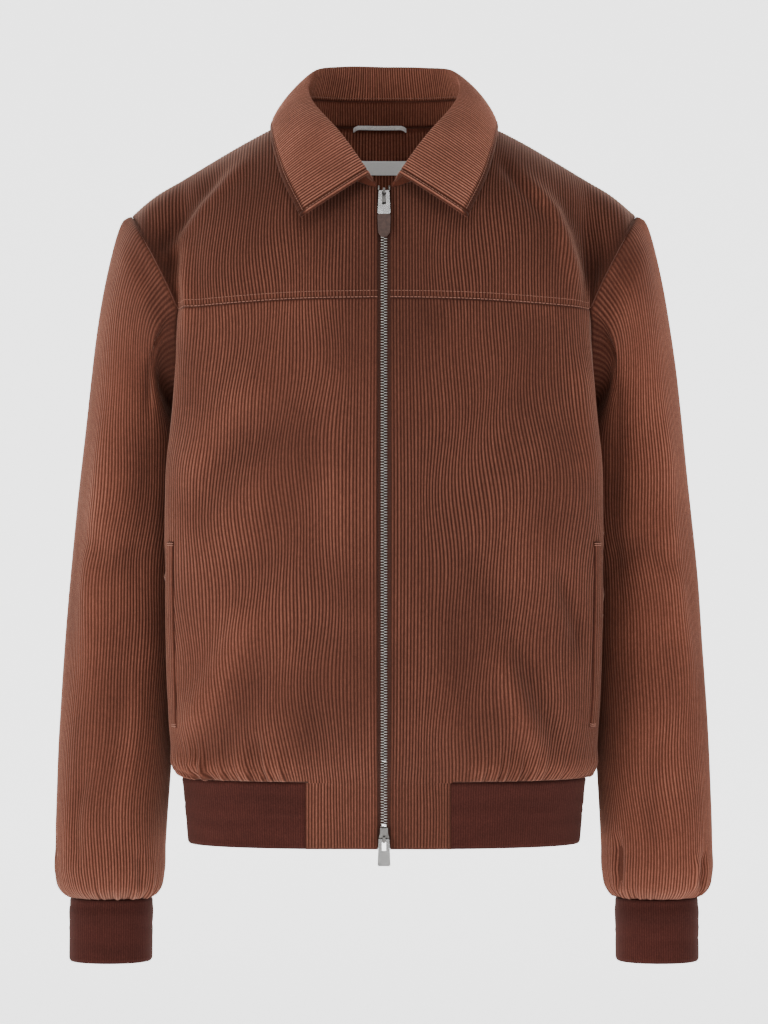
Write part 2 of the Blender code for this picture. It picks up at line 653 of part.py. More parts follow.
def sleeve_grid():
    way, _ = leaving(RING_THETA)
    start = RING_OUT + way * ARMHOLE_GAP
    cap = cap_points(RING_THETA, start, CAP_ROWS)
    tube = sleeve_point(RING_THETA[None, :], SLEEVE_ROWS[:, None])
    grid = np.concatenate([cap, tube])[::-1]
    faces = grid_faces(grid.shape[0], grid.shape[1], closed=True)
    flat = grid.reshape(-1, 3)
    normal = corner_normals(flat, faces)
    centre = np.array([0.235, 0.01, 0.0])
    away = (flat - centre)[:, :2]
    if np.sum(away * normal[:, :2]) < 0:
        normal = -normal
    inner = (flat - WALL * normal).reshape(grid.shape)
    inner[-1] = start + seam_depth(RING_THETA, way)
    return grid, inner


SLEEVE_OUT, SLEEVE_IN = sleeve_grid()
CUFF_ROWS = np.array([CUFF_END_Z, -0.722, -0.703, CUFF_TOP_Z])

for side, word in ((1, "left"), (-1, "right")):
    cloth(
        f"sleeve_{word}", mirrored(SLEEVE_OUT, side), mirrored(SLEEVE_IN, side), "corduroy", closed=True
    )
    turns = np.linspace(0, 2 * math.pi, 21)[:-1]
    cuff = sleeve_point(turns[None, :], CUFF_ROWS[:, None])
    cuff_in = behind(cuff, wall=RIB_WALL, closed=True, flip=True, level=((0, None), (-1, None)))
    cloth(f"cuff_{word}", mirrored(cuff, side), mirrored(cuff_in, side), "rib_knit", closed=True)

# ---------------------------------------------------------------- hem
SECTION_PHI = np.linspace(0, math.pi, 721)


def section_from_x(x, z):
    """Points of the front of the body at a given x."""
    z = np.asarray(z, float)
    out = []
    for level in z:
        sx, sy = section(SECTION_PHI[:361], level)
        top = int(np.argmax(sx))
        out.append(np.stack([x, np.interp(x, sx[: top + 1], sy[: top + 1]), np.full_like(x, level)], 1))
    return np.array(out)


HEM_ROWS = np.array([HEM_Z, (HEM_Z + RIB_TOP_Z) / 2, RIB_TOP_Z - SEAM / 2])


def hem_tab(width):
    tab = section_from_x(np.linspace(ZIP_OPENING, width - SEAM / 2, 5), HEM_ROWS)
    return tab, behind(tab, level=((0, None), (-1, None)))


for side, word, width in ((1, "left", TAB_LEFT), (-1, "right", TAB_RIGHT)):
    tab, tab_in = hem_tab(width)
    cloth(f"hem_tab_{word}", mirrored(tab, side), mirrored(tab_in, side), "corduroy")


def rib_grid():
    """Round the back from the right tab to the left one, columns running to the viewer's right from behind."""
    rows = []
    for z in HEM_ROWS:
        sx, sy = section(SECTION_PHI, z)
        arc = np.concatenate([[0], np.cumsum(np.hypot(np.diff(sx), np.diff(sy)))])
        ends = [float(np.interp(w + SEAM / 2, sx[:300], arc[:300])) for w in (TAB_LEFT, TAB_RIGHT)]
        left = np.linspace(ends[0], arc[-1], 21)
        right = np.linspace(arc[-1], ends[1], 21)[1:]
        x = np.concatenate([np.interp(left, arc, sx), -np.interp(right, arc, sx)])
        y = np.concatenate([np.interp(left, arc, sy), np.interp(right, arc, sy)])
        rows.append(np.stack([x, y, np.full_like(x, z)], 1))
    return np.array(rows)


RIB = rib_grid()
cloth("hem_rib", RIB, behind(RIB, wall=RIB_WALL, level=((0, None), (-1, None))), "rib_knit")

# ---------------------------------------------------------------- collar
collar_at = reader(COLLAR, COLLAR_COLUMNS)
STAND_WALL = 1.8 * MM
NECK_GAP = 0.65 * MM


def neck_edge():
    """The panels' edge round the neckline from the centre back to the front edge: outer and inner points, and the
    way off it along the panels' face, with a little lift."""
    outer = np.vstack([BACK_HALF[-1, : BACK_NECK_COLUMN + 1], YOKE[-1, FRONT_NECK_COLUMN - 1 :: -1]])
    inner = np.vstack([BACK_IN[-1, : BACK_NECK_COLUMN + 1], YOKE_IN[-1, FRONT_NECK_COLUMN - 1 :: -1]])
    for line, front in ((outer, YOKE), (inner, YOKE_IN)):
        line[BACK_NECK_COLUMN] = (line[BACK_NECK_COLUMN] + front[-1, FRONT_NECK_COLUMN]) / 2
    along = np.gradient(outer, axis=0)
    along[0] = (1.0, 0.0, 0.0)
    way = np.cross(inner - outer, along)
    return outer, inner, way / length(way) + np.array([0.0, 0.0, 0.3])


EDGE_OUT, EDGE_IN, EDGE_WAY = neck_edge()
steps = np.linalg.norm(np.diff(EDGE_OUT, axis=0), axis=1)
NECK_ARC = np.concatenate([[0], np.cumsum(steps)]) / np.sum(steps)
SIDE_NECK_ALONG = 0.555  # where the collar's own line passes over the side neck point
ALONG = np.interp(NECK_ARC, [0, NECK_ARC[BACK_NECK_COLUMN], 1], [0, SIDE_NECK_ALONG, 1])


def collar_lines(along):
    v = collar_at(along)
    stand = stack(v["stand_x"], v["stand_y"], v["stand_z"])
    fold = stack(v["fold_x"], v["fold_y"], v["fold_z"])
    edge = stack(v["edge_x"], v["edge_y"], v["edge_z"])
    return stand, fold, edge, v


def leaf_half(along, rows):
    """The visible side of the leaf: up from the stand, over the fold and down to the edge. rows run 0 to 2."""
    stand, fold, edge, v = collar_lines(along)
    away = fold - np.array([0.0, -0.009, 0.0])
    away[:, 2] = 0
    away = away / np.maximum(length(away), 1e-9)
    fall = (edge - fold) / length(edge - fold)
    out = away - fall * np.sum(away * fall, -1, keepdims=True)
    out = out / length(out)
    roll = v["roll"][:, None]
    start = stand + (fold - stand) / length(fold - stand) * 0.4 * MM
    rise_a = start + (fold - start) * 0.45
    rise_b = fold - away * roll * 1.1
    fall_a = fold + away * roll * 1.3
    fall_b = (fold + edge) / 2 + out * v["bow"][:, None] * 1.3
    grids = []
    for r in rows:
        if r <= 1:
            grids.append(bezier(np.array(r), start, rise_a, rise_b, fold))
        else:
            grids.append(bezier(np.array(r - 1), fold, fall_a, fall_b, edge))
    return np.array(grids)


LEAF_ROWS = np.array([0, 0.4, 0.75, 0.92, 1.0, 1.08, 1.22, 1.45, 1.7, 2.0])
stand_top = collar_lines(ALONG)[0]
stand_low = EDGE_IN + EDGE_WAY * NECK_GAP
STAND = sides_joined(np.array([stand_low, (stand_low + stand_top) / 2, stand_top]))
STAND_IN = behind(STAND, wall=STAND_WALL)
STAND_IN[0] = sides_joined((EDGE_OUT + EDGE_WAY * NECK_GAP)[None])[0]
LEAF = sides_joined(leaf_half(ALONG, LEAF_ROWS))
LEAF_IN = behind(LEAF)
LEAF_IN[0] = LEAF[0] + (STAND_IN[-1] - STAND[-1])
collar_middle = len(ALONG) - 1
cloth("collar_stand", STAND, STAND_IN, "corduroy", middle=collar_middle)
cloth("collar_leaf", LEAF, LEAF_IN, "corduroy", middle=collar_middle)

# ---------------------------------------------------------------- inside the back neck
FACING_WALL = 1.5 * MM
LABEL_WALL = 0.6 * MM
LABEL_HALF = 23.0 * MM
LABEL_TOP_Z = -0.0172
LABEL_LOW_Z = -0.0290
LOOP_LEFT_X = -0.0283
LOOP_RIGHT_X = 0.0206
LOOP_TALL = 5.0 * MM
LOOP_WALL = 0.8 * MM

neck_rows = len(BACK_LOWER_ROWS)
NECK_OUT = BACK_HALF[neck_rows:, : BACK_NECK_COLUMN + 1]
NECK_IN = BACK_IN[neck_rows:, : BACK_NECK_COLUMN + 1]


def inside_neck(name, rows, columns, clearance, wall, slot):
    face, back = lying_on(NECK_OUT, NECK_IN, rows, columns, -clearance, wall)
    face[:, 0, 0] = back[:, 0, 0] = 0.0
    cloth(name, sides_joined(back), sides_joined(face), slot, middle=len(columns) - 1)
    return back


facing_columns = np.arange(5.0)
facing_back = inside_neck(
    "back_neck_facing", np.arange(1.0, 5.0), facing_columns, SEAM, FACING_WALL, "corduroy"
)
label_rows = np.interp([LABEL_LOW_Z, LABEL_TOP_Z], NECK_IN[:, 0, 2], np.arange(5.0))
label_columns = np.interp([0, LABEL_HALF], NECK_IN[3, :, 0], np.arange(BACK_NECK_COLUMN + 1.0))
inside_neck("neck_label", label_rows, label_columns, SEAM + FACING_WALL + 1.4 * SEAM, LABEL_WALL, "label_weave")

loop_x = np.linspace(LOOP_LEFT_X, LOOP_RIGHT_X, 9)
loop_turn = np.linspace(0, 1, 9)
loop_bow = 3.2 * MM * np.sin(math.pi * loop_turn) ** 0.8
loop_drop = 3.0 * MM * (1 - np.sin(math.pi * loop_turn) ** 0.6)
loop_back = np.interp(np.abs(loop_x), facing_back[-1, :, 0], facing_back[-1, :, 1]) - 0.8 * MM
loop_face = np.stack([
    np.stack([loop_x, loop_back - loop_bow, 0.0090 - loop_drop], 1),
    np.stack([loop_x, loop_back - loop_bow, 0.0090 + LOOP_TALL - loop_drop], 1),
])  # fmt: skip
loop_front = loop_face - np.array([0, LOOP_WALL, 0])
cloth("hanger_loop", loop_front, loop_face, "loop_tape")

# ---------------------------------------------------------------- pocket welts
WELT_WALL = 1.2 * MM
WELT_SHARE_LOW = 0.670  # of the way from the zip to the side seam, at the welt's lower end
WELT_SHARE_TOP = 0.639
WELT_ACROSS = (-0.0175, 0.0, 0.0175)
WELT_CLEAR = 0.5 * MM
WELT_LOW_Z = -0.5300
WELT_TOP_Z = -0.3680
welt_z = np.linspace(WELT_LOW_Z, WELT_TOP_Z, 6)
welt_middle = np.linspace(WELT_SHARE_LOW, WELT_SHARE_TOP, len(welt_z))
welt_shares = welt_middle[:, None] + np.array(WELT_ACROSS)[None, :]
welt_base = body_point(FRONT_ANGLES, welt_shares, welt_z[:, None])
welt_in = behind(welt_base, wall=-WELT_CLEAR)
welt = behind(welt_base, wall=-WELT_CLEAR - WELT_WALL)
for side, word in ((1, "left"), (-1, "right")):
    cloth(f"pocket_welt_{word}", mirrored(welt, side), mirrored(welt_in, side), "corduroy")

# ---------------------------------------------------------------- zip
TAPE_WALL = 0.8 * MM
TAPE_INNER = 1.8 * MM
TAPE_OUTER = 15.0 * MM
CHAIN_DEEP = 2.0 * MM
CHAIN_INNER = 0.15 * MM
CHAIN_OUTER = 2.75 * MM
CHAIN_TOP_Z = -0.0673
CHAIN_LOW_Z = -0.6195

upper = yoke_points(np.array([ZIP_OPENING]), YOKE_ROWS)[:, 0]
lower = body_point(FRONT_ANGLES, SHARE_ZIP, np.concatenate([HEM_ROWS, FRONT[1:-1, 0, 2]]))
CENTRE = np.vstack([lower, upper])
CENTRE = np.vstack([CENTRE, 2 * CENTRE[-1] - CENTRE[-2]])


def centre_depth(z):
    return np.interp(z, CENTRE[:, 2], CENTRE[:, 1])


def chain_strip():
    inside = (CENTRE[:, 2] > CHAIN_LOW_Z + MM) & (CENTRE[:, 2] < CHAIN_TOP_Z - MM)
    z = np.concatenate([[CHAIN_LOW_Z], CENTRE[inside, 2], [CHAIN_TOP_Z]])
    outer = np.stack([np.stack([np.full_like(z, x), centre_depth(z), z], 1) for x in (CHAIN_INNER, CHAIN_OUTER)], 1)
    return outer, outer + np.array([0, CHAIN_DEEP, 0])


def tape_strip(tab, tab_in):
    """The tape follows the inner faces of the tab, the front and the yoke, and reaches past their edges."""
    faces = []
    for outer, inner, rows in (
        (tab, tab_in, np.array([0.05, 1.0])),
        (FRONT, FRONT_IN, np.arange(0.0, 11.0)),
        (YOKE, YOKE_IN, np.array([0.0, 1.0, 2.0, 3.0, 4.0, 5.0, 5.9])),
    ):
        out_column = np.interp(TAPE_OUTER, outer[0, :, 0], np.arange(outer.shape[1]))
        columns = np.array([0.0, out_column])
        face, back = lying_on(outer, inner, rows, columns, -SEAM * 2.0, TAPE_WALL)
        past = [(part[:, :1] * np.array([0, 1, 1]) + np.array([TAPE_INNER, 0, 0])) for part in (face, back)]
        faces.append((np.concatenate([past[0], face], 1), np.concatenate([past[1], back], 1)))
    return np.concatenate([f[0] for f in faces]), np.concatenate([f[1] for f in faces])


chain, chain_in = chain_strip()
for side, word, width in ((1, "left", TAB_LEFT), (-1, "right", TAB_RIGHT)):
    tape, tape_in = tape_strip(*hem_tab(width))
    cloth(f"zip_tape_{word}", mirrored(tape, side), mirrored(tape_in, side), "zip_tape")
    cloth(f"zip_chain_{word}", mirrored(chain, side), mirrored(chain_in, side), "nickel")


def prism(name, outline, y0, y1, slot):
    """A plate: an outline of (x, z) points between two depths."""
    count = len(outline)
    verts = [(x, y0, z) for x, z in outline] + [(x, y1, z) for x, z in outline]
    faces = [tuple(range(count)), tuple(range(2 * count - 1, count - 1, -1))]
    faces += [(i, i + count, (i + 1) % count + count, (i + 1) % count) for i in range(count)]
    return solid(name, verts, faces, slot)


# In the frame of a slider's hinge: the pull's bar turns about X at the origin, and -Y faces out.
PLATE_FRONT = 1.5 * MM
PLATE_WALL = 1.3 * MM
CHAIN_FACE = 3.1 * MM
BACK_PLATE = CHAIN_FACE + WALL + 2 * SEAM + TAPE_WALL + SEAM
SLIDER_WIDE = 4.5 * MM
SLIDER_NARROW = 3.3 * MM
SLIDER_LONG = 12.6 * MM
SLIDER_PAST_HINGE = 2.6 * MM


def slider(name, hinge, lean, down):
    """`down` is 1 when the slider's wide end is up (the top slider) and -1 when it is down."""

    def outline(shrink):
        wide, narrow = SLIDER_WIDE - shrink, SLIDER_NARROW - shrink
        end, start = SLIDER_PAST_HINGE, SLIDER_PAST_HINGE - SLIDER_LONG
        points = [
            (-narrow, start), (narrow, start), (narrow + 0.2 * MM, start + 5 * MM), (wide, end - 4 * MM),
            (wide - 0.8 * MM, end - 0.8 * MM), (0, end), (-wide + 0.8 * MM, end - 0.8 * MM),
            (-wide, end - 4 * MM), (-narrow - 0.2 * MM, start + 5 * MM),
        ]  # fmt: skip
        return [(x, z * down) for x, z in points]

    body = prism(name, outline(0), PLATE_FRONT, PLATE_FRONT + PLATE_WALL, "nickel")
    rear = prism("rear", outline(0.4 * MM), BACK_PLATE, BACK_PLATE + 1.0 * MM, "nickel")
    post_z = sorted((SLIDER_PAST_HINGE * down - 0.6 * MM * down, -2.2 * MM * down))
    post = box(
        "post", (-1.2 * MM, PLATE_FRONT + 0.5 * MM, post_z[0]), (1.2 * MM, BACK_PLATE + 0.5 * MM, post_z[1]), "nickel"
    )
    arch = box("arch", (-1.1 * MM, -2.4 * MM, -2.5 * MM), (1.1 * MM, PLATE_FRONT + 0.6 * MM, 2.5 * MM), "nickel")
    window = box("window", (-2 * MM, -1.45 * MM, -1.6 * MM), (2 * MM, PLATE_FRONT - 0.05 * MM, 1.6 * MM), "nickel")
    apply_boolean(arch, window, "DIFFERENCE")
    for piece in (post, rear, arch):
        apply_boolean(body, piece, "UNION")
    body.location = hinge
    body.rotation_euler = (-lean, 0, 0)
    return body


PULL_LONG = 23.4 * MM
PULL_TOP_HALF = 4.6 * MM
PULL_LOW_HALF = 5.6 * MM
PULL_OUT = 1.0 * MM
PULL_IN = 0.4 * MM
BAR_HALF = 0.6 * MM
SLOT_HALF = 1.8 * MM


def pull(name, hinge, lean, slot_long):
    low = BAR_HALF - PULL_LONG
    outline = [
        (-PULL_LOW_HALF + MM, low), (PULL_LOW_HALF - MM, low), (PULL_LOW_HALF, low + MM),
        (PULL_TOP_HALF, BAR_HALF - 0.3 * MM), (PULL_TOP_HALF - 0.3 * MM, BAR_HALF),
        (-PULL_TOP_HALF + 0.3 * MM, BAR_HALF), (-PULL_TOP_HALF, BAR_HALF - 0.3 * MM), (-PULL_LOW_HALF, low + MM),
    ]  # fmt: skip
    made = prism(name, outline, -PULL_OUT, PULL_IN, "nickel")
    slot = box("slot", (-SLOT_HALF, -3 * MM, -BAR_HALF - slot_long), (SLOT_HALF, 3 * MM, -BAR_HALF), "nickel")
    apply_boolean(made, slot, "DIFFERENCE")
    made.location = hinge
    made.rotation_euler = (-lean, 0, 0)
    return made


def slope_at(z):
    return math.atan2(centre_depth(z + 0.008) - centre_depth(z - 0.008), 0.016)


TOP_HINGE_Z = -0.0625
LOW_HINGE_Z = -0.6255
TOP_LEAN = slope_at(TOP_HINGE_Z - 0.004)
LOW_LEAN = slope_at(LOW_HINGE_Z + 0.006)
TOP_HINGE = (0.0, float(centre_depth(TOP_HINGE_Z)) - CHAIN_FACE / math.cos(TOP_LEAN), TOP_HINGE_Z)
LOW_HINGE = (0.0, float(centre_depth(LOW_HINGE_Z)) - CHAIN_FACE / math.cos(LOW_LEAN), LOW_HINGE_Z)
slider("zip_slider_top", TOP_HINGE, TOP_LEAN, 1)
slider("zip_slider_bottom", LOW_HINGE, LOW_LEAN, -1)
pull("zip_pull_top", TOP_HINGE, TOP_LEAN, 13.0 * MM)
pull("zip_pull_bottom", LOW_HINGE, 0.0, 9.0 * MM)

LEATHER_LONG = 22.0 * MM
LEATHER_HALF = 5.7 * MM
leather_top = BAR_HALF - PULL_LONG - SEAM
leather_low = leather_top - LEATHER_LONG
leather = prism(
    "zip_tab_leather",
    [
        (-2.2 * MM, leather_low), (2.2 * MM, leather_low), (LEATHER_HALF - 0.5 * MM, leather_low + 4.5 * MM),
        (LEATHER_HALF, leather_top - MM), (LEATHER_HALF - MM, leather_top),
        (-LEATHER_HALF + MM, leather_top), (-LEATHER_HALF, leather_top - MM),
        (-LEATHER_HALF + 0.5 * MM, leather_low + 4.5 * MM),
    ],  # fmt: skip
    -PULL_OUT - 0.2 * MM,
    PULL_IN + 0.2 * MM,
    "leather",
)
leather.location = TOP_HINGE
leather.rotation_euler = (-TOP_LEAN, 0, 0)
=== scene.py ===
"""Corduroy zip jacket, filled out as if worn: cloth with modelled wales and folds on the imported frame.

Metres, +Z up, the front faces -Y and +X is the wearer's left. Each panel is a thin shell: a fine outer face whose
columns follow the wales, a plain inner face, and turned edges between them.
"""

import math

import bpy
import numpy as np
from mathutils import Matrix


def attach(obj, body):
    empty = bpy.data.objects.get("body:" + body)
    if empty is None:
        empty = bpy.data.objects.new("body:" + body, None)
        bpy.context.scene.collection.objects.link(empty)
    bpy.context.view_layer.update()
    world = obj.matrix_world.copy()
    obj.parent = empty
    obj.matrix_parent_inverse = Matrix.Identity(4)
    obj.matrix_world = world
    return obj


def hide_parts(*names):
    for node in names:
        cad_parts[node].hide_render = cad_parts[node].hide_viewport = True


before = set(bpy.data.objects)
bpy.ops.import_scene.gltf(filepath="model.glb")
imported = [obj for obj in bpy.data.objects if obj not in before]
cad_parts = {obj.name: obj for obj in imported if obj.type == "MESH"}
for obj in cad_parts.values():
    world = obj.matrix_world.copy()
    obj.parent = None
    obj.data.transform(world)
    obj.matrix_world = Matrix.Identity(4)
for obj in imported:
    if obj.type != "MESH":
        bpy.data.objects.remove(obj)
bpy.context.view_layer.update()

MM = 0.001
WALL = 2.0 * MM
SEAM = 0.3 * MM

# ---- driving sizes
HEM_Z = -0.6345
RIB_TOP_Z = -0.5765
UNDERARM_Z = -0.250
UNDERARM_Y = 0.010
YOKE_CENTRE_Z = -0.1565
YOKE_DROP = 0.008
YOKE_END_X = 0.180
BACK_TOP_Z = -0.130  # the back's wales start to fan out to the shoulders here
SHOULDER_X = 0.2265
RIDGE_Y = 0.005
NECK_HALF = 0.082
NECK_FRONT_Y = -0.088
NECK_FRONT_Z = -0.0575
NECK_BACK_Y = 0.070
NECK_Z = 0.012
NECK_DROP_POWER = 1.8  # the neckline leaves the side neck point level with the shoulder
CUFF_TOP_Z = -0.6875
CUFF_END_Z = -0.743
ZIP_OPENING = 5.4 * MM  # from the centre line to each front edge
TAB_RIGHT = 68.0 * MM
TAB_LEFT = 58.0 * MM

# Horizontal sections of the body: half-widths of its front and back corners, depths to the front and back,
# the depth of the front corner, and how far the arm presses the side in, as a share of the width.
BODY_COLUMNS = ("z", "front_half", "back_half", "front", "back", "corner", "pressed")
BODY = (
    (-0.640, 0.1730, 0.170, -0.1120, 0.122, -0.040, 0.00),
    (-0.600, 0.1765, 0.174, -0.1160, 0.126, -0.042, 0.00),
    (-0.577, 0.1790, 0.177, -0.1185, 0.129, -0.045, 0.00),
    (-0.560, 0.1860, 0.182, -0.1230, 0.136, -0.048, 0.01),
    (-0.530, 0.1895, 0.184, -0.1275, 0.141, -0.053, 0.03),
    (-0.455, 0.1930, 0.184, -0.1300, 0.146, -0.060, 0.07),
    (-0.385, 0.1940, 0.184, -0.1310, 0.149, -0.067, 0.10),
    (-0.315, 0.1920, 0.184, -0.1300, 0.150, -0.073, 0.13),
    (-0.250, 0.1860, 0.188, -0.1270, 0.149, -0.073, 0.13),
    (-0.200, 0.1825, 0.195, -0.1235, 0.146, -0.070, 0.08),
    (-0.160, 0.1820, 0.206, -0.1190, 0.142, -0.066, 0.04),
    (-0.120, 0.1820, 0.224, -0.1130, 0.137, -0.060, 0.00),
)
FRONT_POWER = 2.5
BACK_POWER = 3.0
PRESS_Y = 0.030
PRESS_SPREAD = 0.055

# The armhole seam over the front, from the yoke seam up to the shoulder.
ARMHOLE_X = (0.1800, 0.1900, 0.2040, 0.2170, 0.2265)
ARMHOLE_Z = (-0.1645, -0.1420, -0.1150, -0.0930, -0.0755)

# The shoulder seam, seen from the front.
RIDGE_X = (0.082, 0.1014, 0.1185, 0.1500, 0.1797, 0.2085, 0.2265)
RIDGE_Z = (0.0120, 0.0025, -0.0065, -0.0245, -0.0425, -0.0600, -0.0755)

# Horizontal sections of a sleeve.
SLEEVE_COLUMNS = ("z", "outer", "inner", "middle_y", "half_depth")
SLEEVE = (
    (-0.2900, 0.2712, 0.1775, 0.018, 0.068),
    (-0.3400, 0.2765, 0.1790, 0.016, 0.066),
    (-0.4200, 0.2838, 0.1820, 0.010, 0.062),
    (-0.5000, 0.2890, 0.1870, 0.002, 0.058),
    (-0.5800, 0.2922, 0.1923, -0.006, 0.054),
    (-0.6400, 0.2942, 0.1958, -0.010, 0.052),
    (-0.6650, 0.2940, 0.1968, -0.012, 0.050),
    (-0.6790, 0.2895, 0.2005, -0.012, 0.045),
    (-0.6860, 0.2825, 0.2062, -0.012, 0.0345),
    (-0.7000, 0.2818, 0.2070, -0.012, 0.0335),
    (-0.7430, 0.2817, 0.2079, -0.012, 0.0325),
)
SLEEVE_POWER = 2.2
CAP_END_Z = -0.290
ARMHOLE_GAP = 0.65 * MM

# The collar on one side, from the middle of the back (along = 0) to the front end (1): where the seam with
# the stand, the fold and the outer edge lie, how far the fall bows out, and the radius of the roll.
COLLAR_COLUMNS = (
    "along", "stand_x", "stand_y", "stand_z", "fold_x", "fold_y", "fold_z",
    "edge_x", "edge_y", "edge_z", "bow", "roll",
)  # fmt: skip
COLLAR = (
    (0.00, 0.0000, 0.0660, 0.0350, 0.0000, 0.0700, 0.0672, 0.0000, 0.1040, -0.0010, 0.016, 0.0045),
    (0.20, 0.0400, 0.0605, 0.0345, 0.0370, 0.0630, 0.0665, 0.0520, 0.0950, 0.0010, 0.016, 0.0045),
    (0.38, 0.0655, 0.0420, 0.0335, 0.0620, 0.0420, 0.0610, 0.0880, 0.0640, 0.0060, 0.013, 0.0045),
    (0.52, 0.0760, 0.0140, 0.0290, 0.0690, 0.0120, 0.0470, 0.1010, 0.0200, 0.0085, 0.010, 0.0040),
    (0.68, 0.0740, -0.0230, 0.0120, 0.0640, -0.0290, 0.0240, 0.1015, -0.0420, -0.0080, 0.008, 0.0040),
    (0.84, 0.0490, -0.0640, -0.0190, 0.0385, -0.0745, -0.0095, 0.0905, -0.0900, -0.0480, 0.006, 0.0035),
    (1.00, 0.0085, -0.0915, -0.0530, 0.0130, -0.1000, -0.0470, 0.0722, -0.1260, -0.0868, 0.004, 0.0030),
)

# ---- curves
def smooth(at, xs, ys):
    """A smooth curve through (xs, ys), xs rising, read at each value of `at`."""
    xs = np.asarray(xs, float)
    ys = np.asarray(ys, float)
    slope = np.gradient(ys, xs)
    at = np.clip(np.asarray(at, float), xs[0], xs[-1])
    i = np.clip(np.searchsorted(xs, at, side="right") - 1, 0, len(xs) - 2)
    width = xs[i + 1] - xs[i]
    t = (at - xs[i]) / width
    return (
        (2 * t**3 - 3 * t**2 + 1) * ys[i]
        + (t**3 - 2 * t**2 + t) * width * slope[i]
        + (3 * t**2 - 2 * t**3) * ys[i + 1]
        + (t**3 - t**2) * width * slope[i + 1]
    )


def column(table, names, name):
    rows = sorted(table, key=lambda row: row[0])
    return [row[names.index(name)] for row in rows]


def reader(table, names):
    """A function that gives every named column of a table at a value of its first column."""
    keys = column(table, names, names[0])
    return lambda at: {name: smooth(at, keys, column(table, names, name)) for name in names[1:]}


def ease(t):
    t = np.clip(t, 0.0, 1.0)
    return t * t * (3 - 2 * t)


def bezier(t, a, b, c, d):
    """Points on cubic curves: t is (rows, 1, 1), and the ends and handles are (columns, 3)."""
    return (1 - t) ** 3 * a + 3 * (1 - t) ** 2 * t * b + 3 * (1 - t) * t**2 * c + t**3 * d


def stack(*parts):
    return np.stack(np.broadcast_arrays(*parts), axis=-1)


def length(v):
    return np.linalg.norm(v, axis=-1, keepdims=True)


def arc_along(line):
    """How far along a line each of its points lies."""
    return np.concatenate([[0], np.cumsum(np.linalg.norm(np.diff(line, axis=0), axis=1))])


def read_line(at, places, line):
    """Points of a line, read at each value of `at` where its own points lie at `places`."""
    return np.stack([np.interp(at, places, line[:, k]) for k in range(3)], 1)


# ---- body
body_at = reader(BODY, BODY_COLUMNS)


def section(phi, z):
    """The body's outline at height z: phi is 0 at the centre front and pi at the centre back."""
    v = body_at(z)
    c, s = np.cos(phi), np.abs(np.sin(phi))
    power = np.where(c > 0, FRONT_POWER, BACK_POWER)
    reach = np.where(c > 0, v["front"] - v["corner"], v["back"] - v["corner"])
    y = v["corner"] + reach * np.abs(c) ** (2 / power)
    turn = ease((y - v["corner"]) / (0.5 * (v["back"] - v["corner"])))
    half = v["front_half"] + (v["back_half"] - v["front_half"]) * turn
    pressed = 1 - v["pressed"] * np.exp(-(((y - PRESS_Y) / PRESS_SPREAD) ** 2))
    return half * s ** (2 / power) * pressed, y


LEVEL_STEP = 0.005
LEVELS = np.arange(-0.640, -0.1199, LEVEL_STEP)
SHARES = np.linspace(0, 1, 161)


def share_tables():
    """The angle at equal shares of the arc from the centre front, and from the centre back, to the side seam."""
    phi = np.linspace(0, math.pi, 1441)
    fronts, backs = [], []
    for z in LEVELS:
        x, y = section(phi, z)
        arc = arc_along(np.stack([x, y], 1))
        seam = np.interp(UNDERARM_Y, y, arc)
        fronts.append(np.interp(SHARES * seam, arc, phi))
        backs.append(np.interp(arc[-1] - SHARES * (arc[-1] - seam), arc, phi))
    return np.array(fronts), np.array(backs)


FRONT_ANGLES, BACK_ANGLES = share_tables()


def angle_at(angles, share, z):
    """The body's angle at a share of the arc, read from a table of angles at each level."""
    i = np.clip((z - LEVELS[0]) / LEVEL_STEP, 0, len(LEVELS) - 1.001)
    j = np.clip(share * (len(SHARES) - 1), 0, len(SHARES) - 1.001)
    i0, j0 = i.astype(int), j.astype(int)
    di, dj = i - i0, j - j0
    near = angles[i0, j0] * (1 - dj) + angles[i0, j0 + 1] * dj
    far = angles[i0 + 1, j0] * (1 - dj) + angles[i0 + 1, j0 + 1] * dj
    return near * (1 - di) + far * di


def body_point(angles, share, z):
    """Points on the body at a height and at a share of the arc from the middle to the side seam."""
    share, z = np.broadcast_arrays(np.asarray(share, float), np.asarray(z, float))
    x, y = section(angle_at(angles, share, z), z)
    return stack(x, y, z)


def yoke_seam_z(x):
    return YOKE_CENTRE_Z - YOKE_DROP * (x / YOKE_END_X) ** 2


def yoke_seam_points(share):
    """The yoke seam, whose height follows from how far out each point comes to lie."""
    z = np.full_like(share, YOKE_CENTRE_Z)
    for _ in range(4):
        point = body_point(FRONT_ANGLES, share, z)
        z = yoke_seam_z(point[..., 0])
    return body_point(FRONT_ANGLES, share, z)


DENSE = np.linspace(0, 1, 801)
SEAM_LINE = yoke_seam_points(DENSE)
LAST = int(np.argmax(SEAM_LINE[:, 0] > YOKE_END_X))
SHARE_END, SHARE_ZIP = (
    float(np.interp(x, SEAM_LINE[: LAST + 1, 0], DENSE[: LAST + 1])) for x in (YOKE_END_X, ZIP_OPENING)
)
SEAM_END = yoke_seam_points(np.array([SHARE_END]))[0]


def armhole_front(t):
    """The armhole seam above the yoke seam: t is 0 at the yoke seam and 1 at the shoulder."""
    ts = np.linspace(0, 1, len(ARMHOLE_X))
    x = smooth(t, ts, ARMHOLE_X)
    z = smooth(t, ts, ARMHOLE_Z)
    y = RIDGE_Y + (SEAM_END[1] - RIDGE_Y) * (1 - np.asarray(t, float) ** 2.2) ** 0.62
    return stack(x, y, z)


ARMHOLE_T = np.linspace(0, 1, 201)
ARMHOLE_LINE = armhole_front(ARMHOLE_T)


